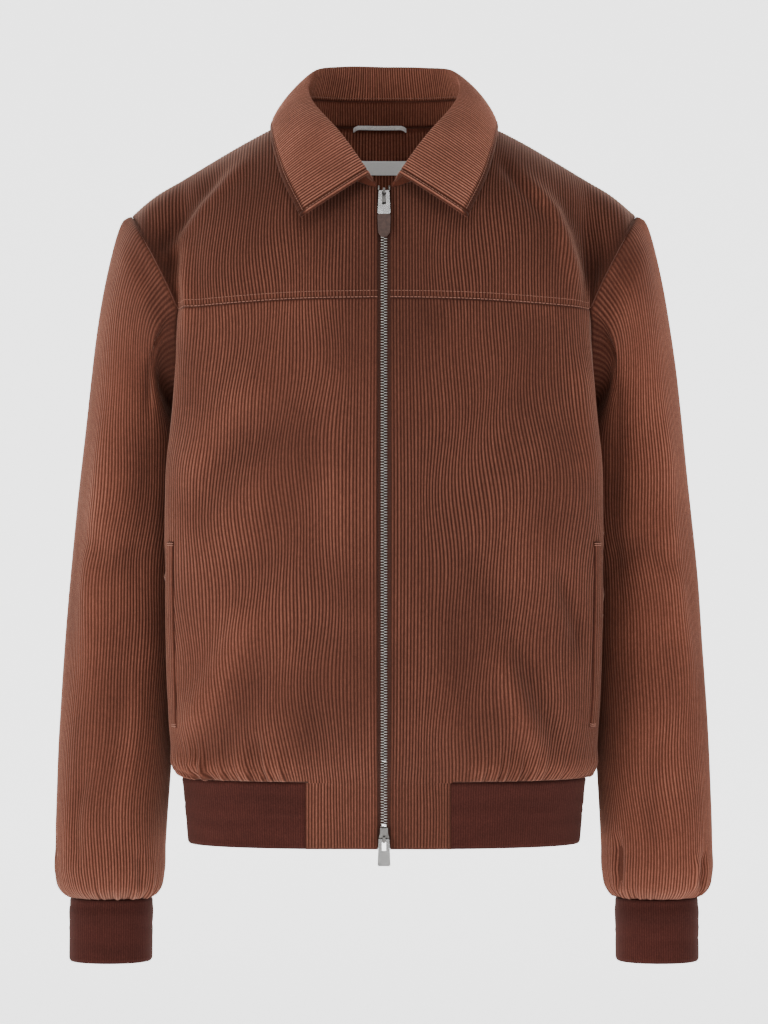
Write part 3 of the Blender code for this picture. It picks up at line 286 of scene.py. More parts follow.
def front_top_z(share):
    """How high the front reaches: to the yoke seam, then down the armhole to the underarm."""
    rise = np.clip((1 - share) / (1 - SHARE_END), 0, 1)
    side = UNDERARM_Z + (SEAM_END[2] - UNDERARM_Z) * rise**2.2
    return np.where(share <= SHARE_END, yoke_seam_points(np.minimum(share, SHARE_END))[..., 2], side)


def edge_top(x, middle_y, middle_z):
    """The neckline, whose middle is at (middle_y, middle_z), then the shoulder seam."""
    to_middle = np.cos(np.arcsin(np.clip(x / NECK_HALF, 0, 1)))
    neck_y = RIDGE_Y + (middle_y - RIDGE_Y) * to_middle
    neck_z = NECK_Z + (middle_z - NECK_Z) * np.abs(to_middle) ** NECK_DROP_POWER
    on_neck = x < NECK_HALF
    return stack(x, np.where(on_neck, neck_y, RIDGE_Y), np.where(on_neck, neck_z, smooth(x, RIDGE_X, RIDGE_Z)))


def front_edge_top(x):
    return edge_top(x, NECK_FRONT_Y, NECK_FRONT_Z)


def back_edge_top(x):
    return edge_top(x, NECK_BACK_Y, NECK_Z)


def spans(low, high):
    """How far apart two edges are in depth and in height, column by column."""
    return np.abs(high[:, 1:2] - low[:, 1:2]), np.abs(high[:, 2:3] - low[:, 2:3])


def columns_between(low, high, lift, out, t):
    """Columns from a low to a high edge, on curves whose handles stand up and out by these amounts."""
    return bezier(np.asarray(t, float).reshape(-1, 1, 1), low, low + lift, high + out, high)


def yoke_points(x, t):
    """The front yoke in columns at each x: t is 0 on the yoke seam or armhole, 1 on the neckline or shoulder."""
    x = np.asarray(x, float)
    edge = np.vstack([SEAM_LINE[:LAST], ARMHOLE_LINE])
    low = stack(x, np.interp(x, edge[:, 0], edge[:, 1]), np.interp(x, edge[:, 0], edge[:, 2]))
    high = front_edge_top(x)
    dy, dz = spans(low, high)
    across = ease(x / NECK_HALF)[:, None]
    lean = (0.13 + 0.75 * ease((x - 0.150) / 0.070))[:, None]
    up = np.concatenate([0 * lean, lean, 1 + 0 * lean], 1) * (0.38 + 0.17 * across) * dz
    flat = np.concatenate([0 * dy, -dy, -0.10 * dy], 1) * 0.58
    steep = np.array([0.0, -0.42, -0.9]) * 0.38 * np.hypot(dy, dz)
    out = steep * (1 - across) + flat * across
    return columns_between(low, high, up, out, t)


BACK_FAN_Y = 0.078  # the fan of wales on the upper back ends at this depth, on the armhole
BACK_START = body_point(BACK_ANGLES, DENSE, BACK_TOP_Z)
SHARE_BACK_END = float(np.interp(-BACK_FAN_Y, -BACK_START[:, 1], DENSE))
BACK_END = body_point(BACK_ANGLES, SHARE_BACK_END, BACK_TOP_Z)
BACK_FAN = SHOULDER_X / float(BACK_END[0])
SHARE_BACK_NECK = float(np.interp(NECK_HALF / BACK_FAN, BACK_START[:400, 0], DENSE[:400]))


def back_top_z(share):
    """How high the back's lower part reaches: level, then down the armhole to the underarm."""
    rise = np.clip((1 - share) / (1 - SHARE_BACK_END), 0, 1)
    side = UNDERARM_Z + (BACK_TOP_Z - UNDERARM_Z) * rise**2.0
    return np.where(share <= SHARE_BACK_END, BACK_TOP_Z, side)


def back_upper_points(share, t):
    """The back above BACK_TOP_Z, whose wales fan out: t is 0 there and 1 on the neckline or shoulder."""
    share = np.asarray(share, float)
    low = body_point(BACK_ANGLES, share, BACK_TOP_Z)
    high = back_edge_top(low[:, 0] * BACK_FAN)
    dy, dz = spans(low, high)
    across = ease(high[:, 0] / NECK_HALF)[:, None]
    up = np.array([0.0, -0.16, 1.0]) * (0.36 + 0.16 * across) * dz
    flat = np.concatenate([0 * dy, dy, -0.10 * dy], 1) * 0.60
    steep = np.array([0.0, 0.50, -0.87]) * 0.36 * np.hypot(dy, dz)
    out = steep * (1 - across) + flat * across
    return columns_between(low, high, up, out, t)


# ---- sleeve and collar forms
sleeve_at = reader(SLEEVE, SLEEVE_COLUMNS)
collar_at = reader(COLLAR, COLLAR_COLUMNS)
GATHER_POWER = 1.45
SLEEVE_LOW_Z = -0.6868
SIDE_NECK_ALONG = 0.555
LEAF_CENTRE = np.array([0.0, -0.009, 0.0])  # the fold leans away from this point
STAND_CENTRE = np.array([0.0, -0.010, 0.0])  # the stand's foot is set in towards this point
STAND_INSET = 1.1 * MM
STAND_SINK = 0.4 * MM


def sleeve_point(theta, z):
    """theta is 0 at the outer side, a quarter turn at the front and half a turn at the body."""
    v = sleeve_at(z)
    c, s = np.cos(theta), np.sin(theta)
    half = (v["outer"] - v["inner"]) / 2
    x = (v["outer"] + v["inner"]) / 2 + half * np.sign(c) * np.abs(c) ** (2 / SLEEVE_POWER)
    y = v["middle_y"] - v["half_depth"] * np.sign(s) * np.abs(s) ** (2 / SLEEVE_POWER)
    return stack(x, y, z + 0 * x)


def armhole_edge():
    """The armhole from the shoulder over the front to the underarm and up the back, with the sleeve's turn there."""
    yoke = armhole_front(np.linspace(1, 0, 120))
    s = np.linspace(SHARE_END, 1, 90)[1:]
    front = body_point(FRONT_ANGLES, s, front_top_z(s))
    s = np.linspace(1, SHARE_BACK_END, 90)[1:]
    back = body_point(BACK_ANGLES, s, back_top_z(s))
    upper = back_upper_points(np.array([SHARE_BACK_END]), np.linspace(0, 1, 90)[1:])[:, 0]
    under = len(yoke) + len(front) - 1
    line = np.vstack([yoke, front, back, upper])
    arc = arc_along(line)
    ahead = arc[: under + 1] / arc[under]
    behind = (arc[-1] - arc[under + 1 :]) / (arc[-1] - arc[under])
    power = 1 / GATHER_POWER
    return line, np.concatenate([math.pi * ahead**power, 2 * math.pi - math.pi * behind**power])


ARMHOLE_EDGE, ARMHOLE_TURN = armhole_edge()


def leaving(theta):
    """The way the sleeve's cloth leaves the armhole, and how far it holds that way."""
    under = (1 - np.cos(theta)) / 2
    side = np.abs(np.sin(theta))
    x = 0.80 - 0.22 * side + 0.15 * under
    y = 0.12 * np.sin(theta)
    z = -0.60 - 0.22 * side + 0.70 * under**2
    way = stack(x, y, z)
    return way / length(way), 0.030 + 0.014 * side + 0.002 * under


def cap_points(theta, t):
    """The head of the sleeve: t is 0 at the armhole and 1 where the sleeve's own sections begin."""
    start = read_line(theta, ARMHOLE_TURN, ARMHOLE_EDGE)
    end = sleeve_point(theta, np.full_like(theta, CAP_END_Z))
    below = sleeve_point(theta, np.full_like(theta, CAP_END_Z - 0.02))
    up = (end - below) / length(end - below)
    way, strength = leaving(theta)
    start = start + way * ARMHOLE_GAP
    reach = length(end - start)
    first = start + way * np.minimum(strength[:, None], 0.5 * reach)
    second = end + up * 0.42 * reach
    return bezier(np.asarray(t, float).reshape(-1, 1, 1), start, first, second, end)


def neck_line():
    """The neckline from the centre back to the front edge and the collar's own parameter along it."""
    turn = np.linspace(0, math.pi / 2, 90)
    back = back_edge_top(NECK_HALF * np.sin(turn))
    last = math.asin(ZIP_OPENING / NECK_HALF)
    front = front_edge_top(NECK_HALF * np.sin(np.linspace(math.pi / 2, last, 90)) - 1e-9)[1:]
    line = np.vstack([back, front])
    arc = arc_along(line)
    arc /= arc[-1]
    return line, np.interp(arc, [0, arc[89], 1], [0, SIDE_NECK_ALONG, 1])


NECK_LINE, NECK_ALONG = neck_line()


def collar_lines(along):
    """The seam with the stand, the fold and the outer edge, and all the collar's values."""
    v = collar_at(along)
    return *(stack(*(v[f"{line}_{axis}"] for axis in "xyz")) for line in ("stand", "fold", "edge")), v


def leaf_points(along, rows):
    """The leaf: up from the stand, over the fold and down to the edge. rows run 0 to 2."""
    stand, fold, edge, v = collar_lines(along)
    away = fold - LEAF_CENTRE
    away[:, 2] = 0
    away = away / np.maximum(length(away), 1e-9)
    fall = (edge - fold) / length(edge - fold)
    out = away - fall * np.sum(away * fall, -1, keepdims=True)
    out = out / length(out)
    roll = v["roll"][:, None]
    start = stand + (fold - stand) / length(fold - stand) * 0.4 * MM
    rise_a = start + (fold - start) * 0.45
    rise_b = fold - away * roll * 1.1
    fall_a = fold + away * roll * 1.3
    fall_b = (fold + edge) / 2 + out * v["bow"][:, None] * 1.3
    grids = []
    for r in rows:
        if r <= 1:
            grids.append(bezier(np.array(r), start, rise_a, rise_b, fold))
        else:
            grids.append(bezier(np.array(r - 1), fold, fall_a, fall_b, edge))
    return np.array(grids)


def stand_points(along, rows):
    """The collar's stand, from inside the neckline up to the leaf: rows run 0 to 1."""
    low = read_line(along, NECK_ALONG, NECK_LINE)
    top = collar_lines(along)[0]
    inward = STAND_CENTRE - low
    inward[:, 2] = 0
    low = low + inward / length(inward) * STAND_INSET + np.array([0, 0, -STAND_SINK])
    t = np.asarray(rows, float).reshape(-1, 1, 1)
    return low + (top - low) * t


# ---- folds
# Each fold: depth in mm (a trough is below zero), width in mm, and a path of (x, z) in metres seen from the front.
FRONT_FOLDS = (
    (-3.6, 11, ((-0.130, -0.030), (-0.168, -0.072), (-0.187, -0.098), (-0.183, -0.150))),
    (3.2, 7, ((-0.106, -0.018), (-0.158, -0.070), (-0.177, -0.098), (-0.172, -0.150), (-0.174, -0.205))),
    (2.2, 6, ((-0.196, -0.124), (-0.180, -0.100))),
    (3.0, 18, ((-0.095, -0.215), (-0.150, -0.270), (-0.180, -0.335))),
    (-2.6, 16, ((-0.080, -0.250), (-0.135, -0.300), (-0.172, -0.365))),
    (4.6, 12, ((-0.104, -0.405), (-0.148, -0.490), (-0.184, -0.552))),
    (-2.0, 14, ((-0.092, -0.455), (-0.128, -0.520), (-0.156, -0.566))),
    (-2.4, 7, ((-0.110, -0.530), (-0.112, -0.556), (-0.106, -0.582))),
    (3.2, 6, ((-0.172, -0.556), (-0.146, -0.572))),
    (-1.2, 11, ((-0.058, -0.400), (-0.062, -0.480), (-0.058, -0.565))),
    (1.4, 12, ((-0.040, -0.190), (-0.044, -0.300), (-0.036, -0.400))),
    (-3.6, 11, ((0.142, -0.038), (0.174, -0.095), (0.187, -0.150), (0.191, -0.205))),
    (3.0, 8, ((0.108, -0.034), (0.150, -0.080), (0.167, -0.135), (0.170, -0.168))),
    (-2.2, 6, ((0.096, -0.024), (0.120, -0.056), (0.148, -0.092))),
    (2.2, 9, ((0.168, -0.195), (0.175, -0.260), (0.184, -0.335))),
    (-2.4, 11, ((0.112, -0.445), (0.136, -0.508), (0.158, -0.566))),
    (3.2, 11, ((0.092, -0.450), (0.118, -0.515), (0.142, -0.570))),
    (-2.6, 8, ((0.146, -0.380), (0.167, -0.438), (0.172, -0.475))),
    (-1.6, 15, ((0.056, -0.350), (0.098, -0.415), (0.128, -0.480))),
    (1.2, 13, ((0.034, -0.420), (0.050, -0.500), (0.060, -0.570))),
)  # fmt: skip
BACK_FOLDS = (
    (-3.0, 18, ((0.058, -0.200), (0.084, -0.360), (0.096, -0.530))),
    (-2.6, 16, ((-0.074, -0.235), (-0.096, -0.400), (-0.086, -0.545))),
    (2.2, 15, ((0.020, -0.280), (0.034, -0.420), (0.028, -0.560))),
    (-3.6, 9, ((0.200, -0.200), (0.155, -0.248), (0.108, -0.268))),
    (-3.2, 9, ((-0.200, -0.192), (-0.158, -0.236), (-0.116, -0.250))),
    (2.6, 9, ((-0.130, -0.546), (-0.040, -0.554), (0.030, -0.548))),
    (2.8, 8, ((0.045, -0.556), (0.110, -0.546), (0.165, -0.552))),
    (-1.6, 14, ((-0.018, -0.075), (0.000, -0.150), (0.010, -0.240))),
    (-3.0, 10, ((-0.120, -0.440), (-0.150, -0.505), (-0.170, -0.560))),
    (-2.8, 9, ((0.110, -0.450), (0.142, -0.515), (0.158, -0.562))),
)  # fmt: skip
# Sleeve folds: the first number of each point is the distance round the sleeve from its front line in metres,
# towards the body above zero.
SLEEVE_FOLDS = {
    -1: (
        (-2.0, 16, ((0.018, -0.160), (0.012, -0.330), (0.008, -0.500), (0.012, -0.640))),
        (2.4, 14, ((-0.030, -0.230), (-0.034, -0.380), (-0.026, -0.520))),
        (-1.8, 13, ((-0.060, -0.350), (-0.010, -0.385), (0.045, -0.372))),
        (1.8, 10, ((0.020, -0.470), (0.016, -0.560), (0.010, -0.640))),
        (-2.0, 9, ((-0.020, -0.560), (-0.030, -0.610), (-0.028, -0.665))),
        (-3.0, 6, ((-0.074, -0.626), (-0.068, -0.676))),
        (-1.8, 6, ((0.030, -0.640), (0.034, -0.682))),
        (-2.6, 14, ((0.150, -0.290), (0.162, -0.420), (0.150, -0.560))),
        (-2.2, 9, ((0.110, -0.352), (0.150, -0.386), (0.190, -0.372))),
        (-2.4, 7, ((0.040, -0.170), (0.022, -0.215), (0.016, -0.262))),
    ),
    1: (
        (-2.0, 11, ((0.016, -0.200), (0.024, -0.330), (0.030, -0.450))),
        (1.8, 12, ((-0.026, -0.200), (-0.030, -0.350), (-0.034, -0.540))),
        (-1.9, 12, ((-0.052, -0.400), (0.000, -0.372), (0.050, -0.392))),
        (-2.0, 10, ((-0.006, -0.520), (0.006, -0.600), (0.010, -0.660))),
        (-3.2, 6, ((0.050, -0.624), (0.047, -0.660), (0.050, -0.683))),
        (-3.0, 6, ((-0.050, -0.640), (-0.044, -0.664), (-0.048, -0.683))),
        (2.0, 5, ((-0.034, -0.645), (-0.032, -0.680))),
        (-2.4, 13, ((0.155, -0.310), (0.148, -0.440), (0.158, -0.570))),
        (-2.4, 9, ((0.118, -0.380), (0.150, -0.352), (0.192, -0.366))),
        (-2.2, 7, ((0.046, -0.165), (0.030, -0.210), (0.022, -0.258))),
    ),
}  # fmt: skip


FOLD_SCALE = 1.55


def fold_field(x, z, folds):
    """How far the cloth stands out at (x, z), in metres: every fold fades out at both ends of its path."""
    total = np.zeros_like(x)
    for depth, width, path in folds:
        path = np.array(path)
        legs = np.linalg.norm(np.diff(path, axis=0), axis=1)
        starts = np.concatenate([[0], np.cumsum(legs)])
        nearest = np.full(x.shape, 1e9)
        along = np.zeros_like(x)
        for a, b, start, leg in zip(path[:-1], path[1:], starts, legs):
            way = (b - a) / leg
            step = np.clip((x - a[0]) * way[0] + (z - a[1]) * way[1], 0, leg)
            away = np.hypot(x - a[0] - step * way[0], z - a[1] - step * way[1])
            along = np.where(away < nearest, start + step, along)
            nearest = np.minimum(nearest, away)
        share = along / starts[-1]
        fade = ease(share / 0.3) * ease((1 - share) / 0.3)
        total += FOLD_SCALE * depth * MM * fade * np.exp(-((nearest / (width * MM)) ** 2))
    return total


def gathers(s, height, tall, deep):
    """Uneven little pleats that die out `tall` above a gathered seam: s is the distance along the seam."""
    wave = 0.6 * np.sin(2 * math.pi * (s / 0.021 + 0.6 * np.sin(s / 0.031) + 0.3 * np.sin(s / 0.0113)))
    wave += 0.45 * np.sin(2 * math.pi * (s / 0.0086 + 0.5 * np.sin(s / 0.0173)))
    strong = 0.55 + 0.45 * np.sin(s / 0.0272 + 1.3) * np.sin(s / 0.0451)
    return deep * MM * wave * strong * np.exp(-np.maximum(height, 0) / tall)


def slow_waves(x, z, turn):
    """The slight unevenness of a hanging panel."""
    a = np.sin(x / 0.021 + 1.7 * np.sin(z / 0.083 + turn) + turn)
    b = np.sin(z / 0.037 + 1.2 * np.sin(x / 0.055 + 2 * turn))
    return 0.45 * MM * a + 0.40 * MM * a * b


TAB_CLEAR_X = 0.068  # the gathers over the ribbing start here, beyond the hem tabs
HEM_GATHERS, CUFF_GATHERS = 5.4, 3.6  # mm
HEM_PUFF = 3.6 * MM
SLEEVE_RADIUS = 0.055
CUT_TURN = 1.75 * math.pi  # distances round a sleeve are cut here, behind it


def body_relief(P, back):
    """How far the folds, gathers and slow waves lift the body's cloth."""
    x, z = P[..., 0], P[..., 2]
    folds = BACK_FOLDS if back else FRONT_FOLDS
    height = z - RIB_TOP_Z
    out = fold_field(x, z, folds) + slow_waves(x, z, 2.1 if back else 0.4)
    clear_of_tab = ease((np.abs(x) - TAB_CLEAR_X) / 0.022) if not back else 1.0
    arc = x + (0.9 * P[..., 1] * np.sign(x))
    out += gathers(arc, height, 0.014, HEM_GATHERS) * clear_of_tab * (height > -0.001)
    out += HEM_PUFF * np.exp(-(((height - 0.011) / 0.010) ** 2)) * clear_of_tab
    out *= np.where(height > -0.001, 0.25 + 0.75 * ease(height / 0.0045), 1.0)
    if not back:
        out *= ease((np.abs(x) - 0.008) / 0.022)
    return out


def sleeve_relief(theta, z, side):
    """How far the folds, gathers and slow waves lift the sleeve's cloth."""
    across = SLEEVE_RADIUS * (np.where(theta > CUT_TURN, theta - 2 * math.pi, theta) - math.pi / 2)
    joint = ease(np.abs(theta - CUT_TURN) / 0.35)
    out = fold_field(across, z, SLEEVE_FOLDS[side]) + slow_waves(across * 1.3, z, 1.0 + side) * joint
    out += gathers(across + 0.2 * side, z - SLEEVE_LOW_Z, 0.013, CUFF_GATHERS) * joint
    return out * ease((z - SLEEVE_LOW_Z + 0.004) / 0.010)


# ---- thin shells
WALE = 2.85 * MM  # from one wale to the next
WALE_DEEP = 0.56 * MM
# The section of one wale: shares of its width, and of its height there.
WALE_STEPS = ((0.0, 0.0), (0.17, 0.60), (0.40, 0.95), (0.56, 1.0), (0.82, 0.62))


def wale_columns(start, end, reach, pitch=WALE, steps=WALE_STEPS):
    """Column positions from start to end, which lie `reach` metres apart, and the height of the wale at each."""
    count = max(2, round(reach / pitch))
    phase = np.array([k + p for k in range(count) for p, _ in steps] + [count]) / count
    high = np.array([h for _ in range(count) for _, h in steps] + [0.0])
    number = np.floor(phase * count)
    high = high * (1 - 0.10 * (0.5 + 0.5 * np.sin(number * 2.4)))
    return start + (end - start) * phase, high


def rows_between(reach, step, near=(0.7, 1.8, 3.4)):
    """Shares from 0 to 1, evenly spaced but closer at both ends."""
    ends = np.array(near) * MM / reach
    middle = np.linspace(0, 1, max(3, round(reach / step)) + 1)[1:-1]
    middle = middle[(middle > ends[-1] * 1.4) & (middle < 1 - ends[-1] * 1.4)]
    return np.concatenate([[0], ends, middle, 1 - ends[::-1], [1]])


def grid_normals(P, side):
    """Normals that point out of the cloth: a grid mirrored to the right side has them turned round."""
    right = np.gradient(P, axis=1)
    up = np.gradient(P, axis=0)
    N = np.cross(right, up) * side
    return N / np.maximum(length(N), 1e-12)


def reach_from(P, axis, far):
    """How far each point of a grid is from the grid's first or far edge, along its row or column."""
    step = np.linalg.norm(np.diff(P, axis=axis), axis=-1)
    if far:
        step = np.flip(step, axis)
    total = np.concatenate([np.zeros_like(np.take(step, [0], axis)), np.cumsum(step, axis)], axis)
    return np.flip(total, axis) if far else total


def quads_of(rows, columns, offset, side):
    r, c = np.meshgrid(np.arange(rows - 1), np.arange(columns - 1), indexing="ij")
    a = (offset + r * columns + c).ravel()
    quads = np.stack([a, a + 1, a + columns + 1, a + columns], 1)
    return quads if side > 0 else quads[:, ::-1]


class Builder:
    """Gathers grids of points into one mesh with a height value at each point."""

    def __init__(self):
        self.verts, self.quads, self.values, self.folds, self.count = [], [], [], [], 0

    def grid(self, P, side, value, fold=0.0):
        rows, columns = P.shape[:2]
        self.quads.append(quads_of(rows, columns, self.count, side))
        self.verts.append(P.reshape(-1, 3))
        self.values.append(np.broadcast_to(value, (rows, columns)).ravel())
        self.folds.append(np.broadcast_to(fold, (rows, columns)).ravel())
        self.count += rows * columns

    def mesh(self, name):
        verts, quads = np.concatenate(self.verts), np.concatenate(self.quads)
        made = bpy.data.meshes.new(name)
        made.vertices.add(len(verts))
        made.vertices.foreach_set("co", verts.astype(np.float32).ravel())
        made.loops.add(quads.size)
        made.loops.foreach_set("vertex_index", quads.astype(np.int32).ravel())
        made.polygons.add(len(quads))
        made.polygons.foreach_set("loop_start", np.arange(0, quads.size, 4, dtype=np.int32))
        made.polygons.foreach_set("use_smooth", np.ones(len(quads), bool))
        made.update(calc_edges=True)
        for attribute, values in (("wale", self.values), ("fold", self.folds)):
            layer = made.attributes.new(attribute, "FLOAT", "POINT")
            layer.data.foreach_set("value", np.concatenate(values).astype(np.float32))
        return made


def wander(P, amount, seed, straight=0.0):
    """Wales that drift a little sideways within the panel, never at its side edges or within `straight` of the
    zip."""
    x, z = P[..., 0], P[..., 2]
    right = np.gradient(P, axis=1)
    right = right / np.maximum(length(right), 1e-12)
    wave = np.sin(z / 0.031 + 1.9 * np.sin(x / 0.047 + seed) + seed)
    wave += 0.55 * np.sin(z / 0.0173 + 2.3 * np.sin(x / 0.029) + 2 * seed)
    fade = ease(reach_from(P, 1, False) / 0.03) * ease(reach_from(P, 1, True) / 0.03)
    if straight:
        fade = fade * ease((np.abs(x) - 0.6 * straight) / straight)
    return P + right * (wave * fade * amount)[..., None]


def evened(P, columns, rows):
    """The grid with its columns evened out over some neighbours, away from its first and last rows."""
    kernel = np.hanning(2 * columns + 3)[1:-1]
    padded = np.pad(P, ((0, 0), (columns, columns), (0, 0)), mode="reflect", reflect_type="odd")
    calm = sum(w * padded[:, k : k + P.shape[1]] for k, w in enumerate(kernel / kernel.sum()))
    share = ease(rows / 0.10) * ease((1 - rows) / 0.06)
    return P + (calm - P) * share[:, None, None]


STITCH_INSET = 4.6 * MM
GROOVE_WIDE = 1.0 * MM
GROOVE_DEEP = 0.75 * MM
INNER_VALUE, EDGE_VALUE = 0.35, 0.30  # how high up a wale the inner face and the turned edges are coloured
EDGES = ("low", "high", "first", "last")  # the first and last row, then the first and last column


def shell(
    builder, P, side, high, deep=WALE_DEEP, wall=WALL, drops=(), wide=2.6 * MM, flat=(), groove=(), coarse=(26, 34),
    fold=0.0,
):  # fmt: skip
    """A panel's fine outer face with its wales, a plain inner face and the edges between them. `drops` names the
    edges that roll under by that many mm, `flat` those where the wales are pressed for that many mm, and `groove`
    those with a row of stitches sunk beside them. `coarse` is the inner face's rows and columns."""
    drops, flat = dict(drops), dict(flat)
    N = grid_normals(P, side)
    reach = {
        "low": reach_from(P, 0, False), "high": reach_from(P, 0, True),
        "first": reach_from(P, 1, False), "last": reach_from(P, 1, True),
    }  # fmt: skip
    height = np.broadcast_to(high, P.shape[:2]).copy()
    if deep == WALE_DEEP:
        total, count = reach_from(P, 1, False), len(WALE_STEPS)
        spread = (total[:, count:] - total[:, :-count]) / WALE
        spread = np.pad(spread, ((0, 0), (count // 2, count - count // 2)), mode="edge")
        kept = np.clip(1.8 - 0.7 * spread, 0.45, 1.0)
    else:
        kept = 1.0
    sunk = np.zeros(P.shape[:2])
    for edge in EDGES:
        if edge in flat:
            height *= 0.25 + 0.75 * ease((reach[edge] / MM - flat[edge]) / 1.0)
        if edge in drops:
            near = np.clip(1 - reach[edge] / wide, 0, 1)
            sunk = np.maximum(sunk, drops[edge] * MM * near**2)
            height = height * (1 - 0.8 * near**2 * (np.asarray(drops[edge]) > 0.01))
    for edge in groove:
        pulled = np.exp(-(((reach[edge] - STITCH_INSET) / GROOVE_WIDE) ** 2))
        sunk += GROOVE_DEEP * pulled
        height = height * (1 - 0.45 * pulled)
    outer = P + N * (height * kept * deep - sunk)[..., None]
    r = np.unique(np.round(np.linspace(0, P.shape[0] - 1, coarse[0])).astype(int))
    c = np.unique(np.round(np.linspace(0, P.shape[1] - 1, coarse[1])).astype(int))
    inner = (P - N * wall)[np.ix_(r, c)]
    # Where the wales spread apart, as under the arms, the colour value drops too: painted shade.
    builder.grid(outer, side, height * (0.4 + 0.6 * kept), fold)
    builder.grid(inner, -side, INNER_VALUE)
    fine_r, fine_c = np.arange(P.shape[0]), np.arange(P.shape[1])
    builder.grid(np.stack([read_line(fine_c, c, inner[0]), outer[0]]), side, EDGE_VALUE)
    builder.grid(np.stack([outer[-1], read_line(fine_c, c, inner[-1])]), side, EDGE_VALUE)
    builder.grid(np.stack([read_line(fine_r, r, inner[:, 0]), outer[:, 0]], 1), side, EDGE_VALUE)
    builder.grid(np.stack([outer[:, -1], read_line(fine_r, r, inner[:, -1])], 1), side, EDGE_VALUE)
    return outer, N


def mirrored(P, side):
    return P * np.array([side, 1.0, 1.0])


def line_at(P, N, axis, far, away):
    """The line on a grid that stays `away` metres from one of its edges, with its normals."""
    reach = reach_from(P, axis, far)
    if axis == 1:
        P, N, reach = P.swapaxes(0, 1), N.swapaxes(0, 1), reach.T
    if far:
        P, N, reach = P[::-1], N[::-1], reach[::-1]
    return [
        np.array([read_line([away], reach[:, c], values[:, c])[0] for c in range(P.shape[1])]) for values in (P, N)
    ]  # fmt: skip


# A bead along X: stations with their share of the full section, and a six-sided section.
BEAD_STATIONS = ((-1.0, 0.45), (-0.82, 0.9), (0.82, 0.9), (1.0, 0.45))
BEAD_SECTION = [(math.cos(a), math.sin(a)) for a in np.arange(6) * math.pi / 3]
UNIT_BEAD = np.array([(x, share * u, share * v) for x, share in BEAD_STATIONS for u, v in BEAD_SECTION])
BEAD_FACES = [
    [6 * k + i, 6 * k + (i + 1) % 6, 6 * k + 6 + (i + 1) % 6, 6 * k + 6 + i] for k in range(3) for i in range(6)
]  # fmt: skip
BEAD_FACES += [[0, 3, 2, 1], [0, 5, 4, 3], [18, 19, 20, 21], [18, 21, 22, 23]]


class Beads:
    """Many small solids in one mesh: each has a centre, three axes and half sizes along them."""

    def __init__(self):
        self.verts, self.quads = [], []

    def add(self, centre, along, across, out, size):
        count = len(self.verts) * len(UNIT_BEAD)
        verts = UNIT_BEAD * np.array(size)
        self.verts.append(centre + verts @ np.array([along, across, out]))
        self.quads.append(np.array(BEAD_FACES) + count)

    def mesh(self, name):
        made = Builder()
        made.verts, made.quads = self.verts, self.quads
        made.values = made.folds = [np.zeros(len(v)) for v in self.verts]
        return made.mesh(name)


STITCH_PROUD = 0.25 * MM


def stitch_line(beads, line, normals, pitch, long, thick=0.36 * MM):
    """A row of stitches along a line on the cloth."""
    arc = arc_along(line)
    for at in np.arange(pitch / 2, arc[-1] - pitch / 3, pitch):
        start, middle, end = read_line([at - long / 2, at, at + long / 2], arc, line)
        out = read_line([at], arc, normals)[0]
        along = (end - start) / max(np.linalg.norm(end - start), 1e-9)
        out = out - along * np.dot(out, along)
        out /= np.linalg.norm(out)
        beads.add(middle + out * STITCH_PROUD, along, np.cross(out, along), out, (long / 2, thick, thick))


STITCHES = Beads()


# ---- materials
def node(tree, kind, **values):
    """A new node, with each value set on the input or, failing that, the property of that name."""
    made = tree.nodes.new(kind)
    for key, value in values.items():
        if key in made.inputs:
            made.inputs[key].default_value = value
        else:
            setattr(made, key, value)
    return made


def ramp(tree, source, stops):
    made = tree.nodes.new("ShaderNodeValToRGB")
    made.color_ramp.elements[0].position, made.color_ramp.elements[0].color = stops[0]
    made.color_ramp.elements[1].position, made.color_ramp.elements[1].color = stops[-1]
    for position, colour in stops[1:-1]:
        made.color_ramp.elements.new(position).color = colour
    tree.links.new(source, made.inputs["Fac"])
    return made


def object_place(tree):
    return tree.nodes.new("ShaderNodeTexCoord").outputs["Object"]


def attribute(tree, name):
    return node(tree, "ShaderNodeAttribute", attribute_name=name).outputs["Fac"]


def mix(tree, kind, a, b):
    made = node(tree, "ShaderNodeMix", data_type="RGBA", blend_type=kind)
    tree.links.new(a, made.inputs["A"])
    tree.links.new(b, made.inputs["B"])
    return made


def shaded(tree, colour, source, *stops):
    """The colour times a grey, which `source` picks from the stops."""
    greys = ramp(tree, source, [(at, (value, value, value, 1.0)) for at, value in stops])
    made = mix(tree, "MULTIPLY", colour, greys.outputs["Color"])
    made.inputs["Factor"].default_value = 1.0
    return made.outputs["Result"]


def new_material(name, **shader_values):
    made = bpy.data.materials.new(name)
    made.use_nodes = True
    tree = made.node_tree
    shader = tree.nodes["Principled BSDF"]
    for key, value in shader_values.items():
        shader.inputs[key].default_value = value
    return made, tree, shader


def noise(tree, scale, detail=3.0, stretch=(1, 1, 1), rough=0.55):
    mapping = node(tree, "ShaderNodeMapping", Scale=stretch)
    tree.links.new(object_place(tree), mapping.inputs["Vector"])
    made = node(tree, "ShaderNodeTexNoise", Scale=scale, Detail=detail, Roughness=rough)
    tree.links.new(mapping.outputs["Vector"], made.inputs["Vector"])
    return made.outputs["Fac"]


def two_tone(tree, shader, source, dark, light):
    tone = ramp(tree, source, ((0.3, dark), (0.7, light)))
    tree.links.new(tone.outputs["Color"], shader.inputs["Base Color"])


def bump(tree, shader, source, strength, distance):
    made = node(tree, "ShaderNodeBump", Strength=strength, Distance=distance)
    tree.links.new(source, made.inputs["Height"])
    tree.links.new(made.outputs["Normal"], shader.inputs["Normal"])


CALM = 0.45  # how far brushed patches lose the painted contrast between valley shade and ridge sheen
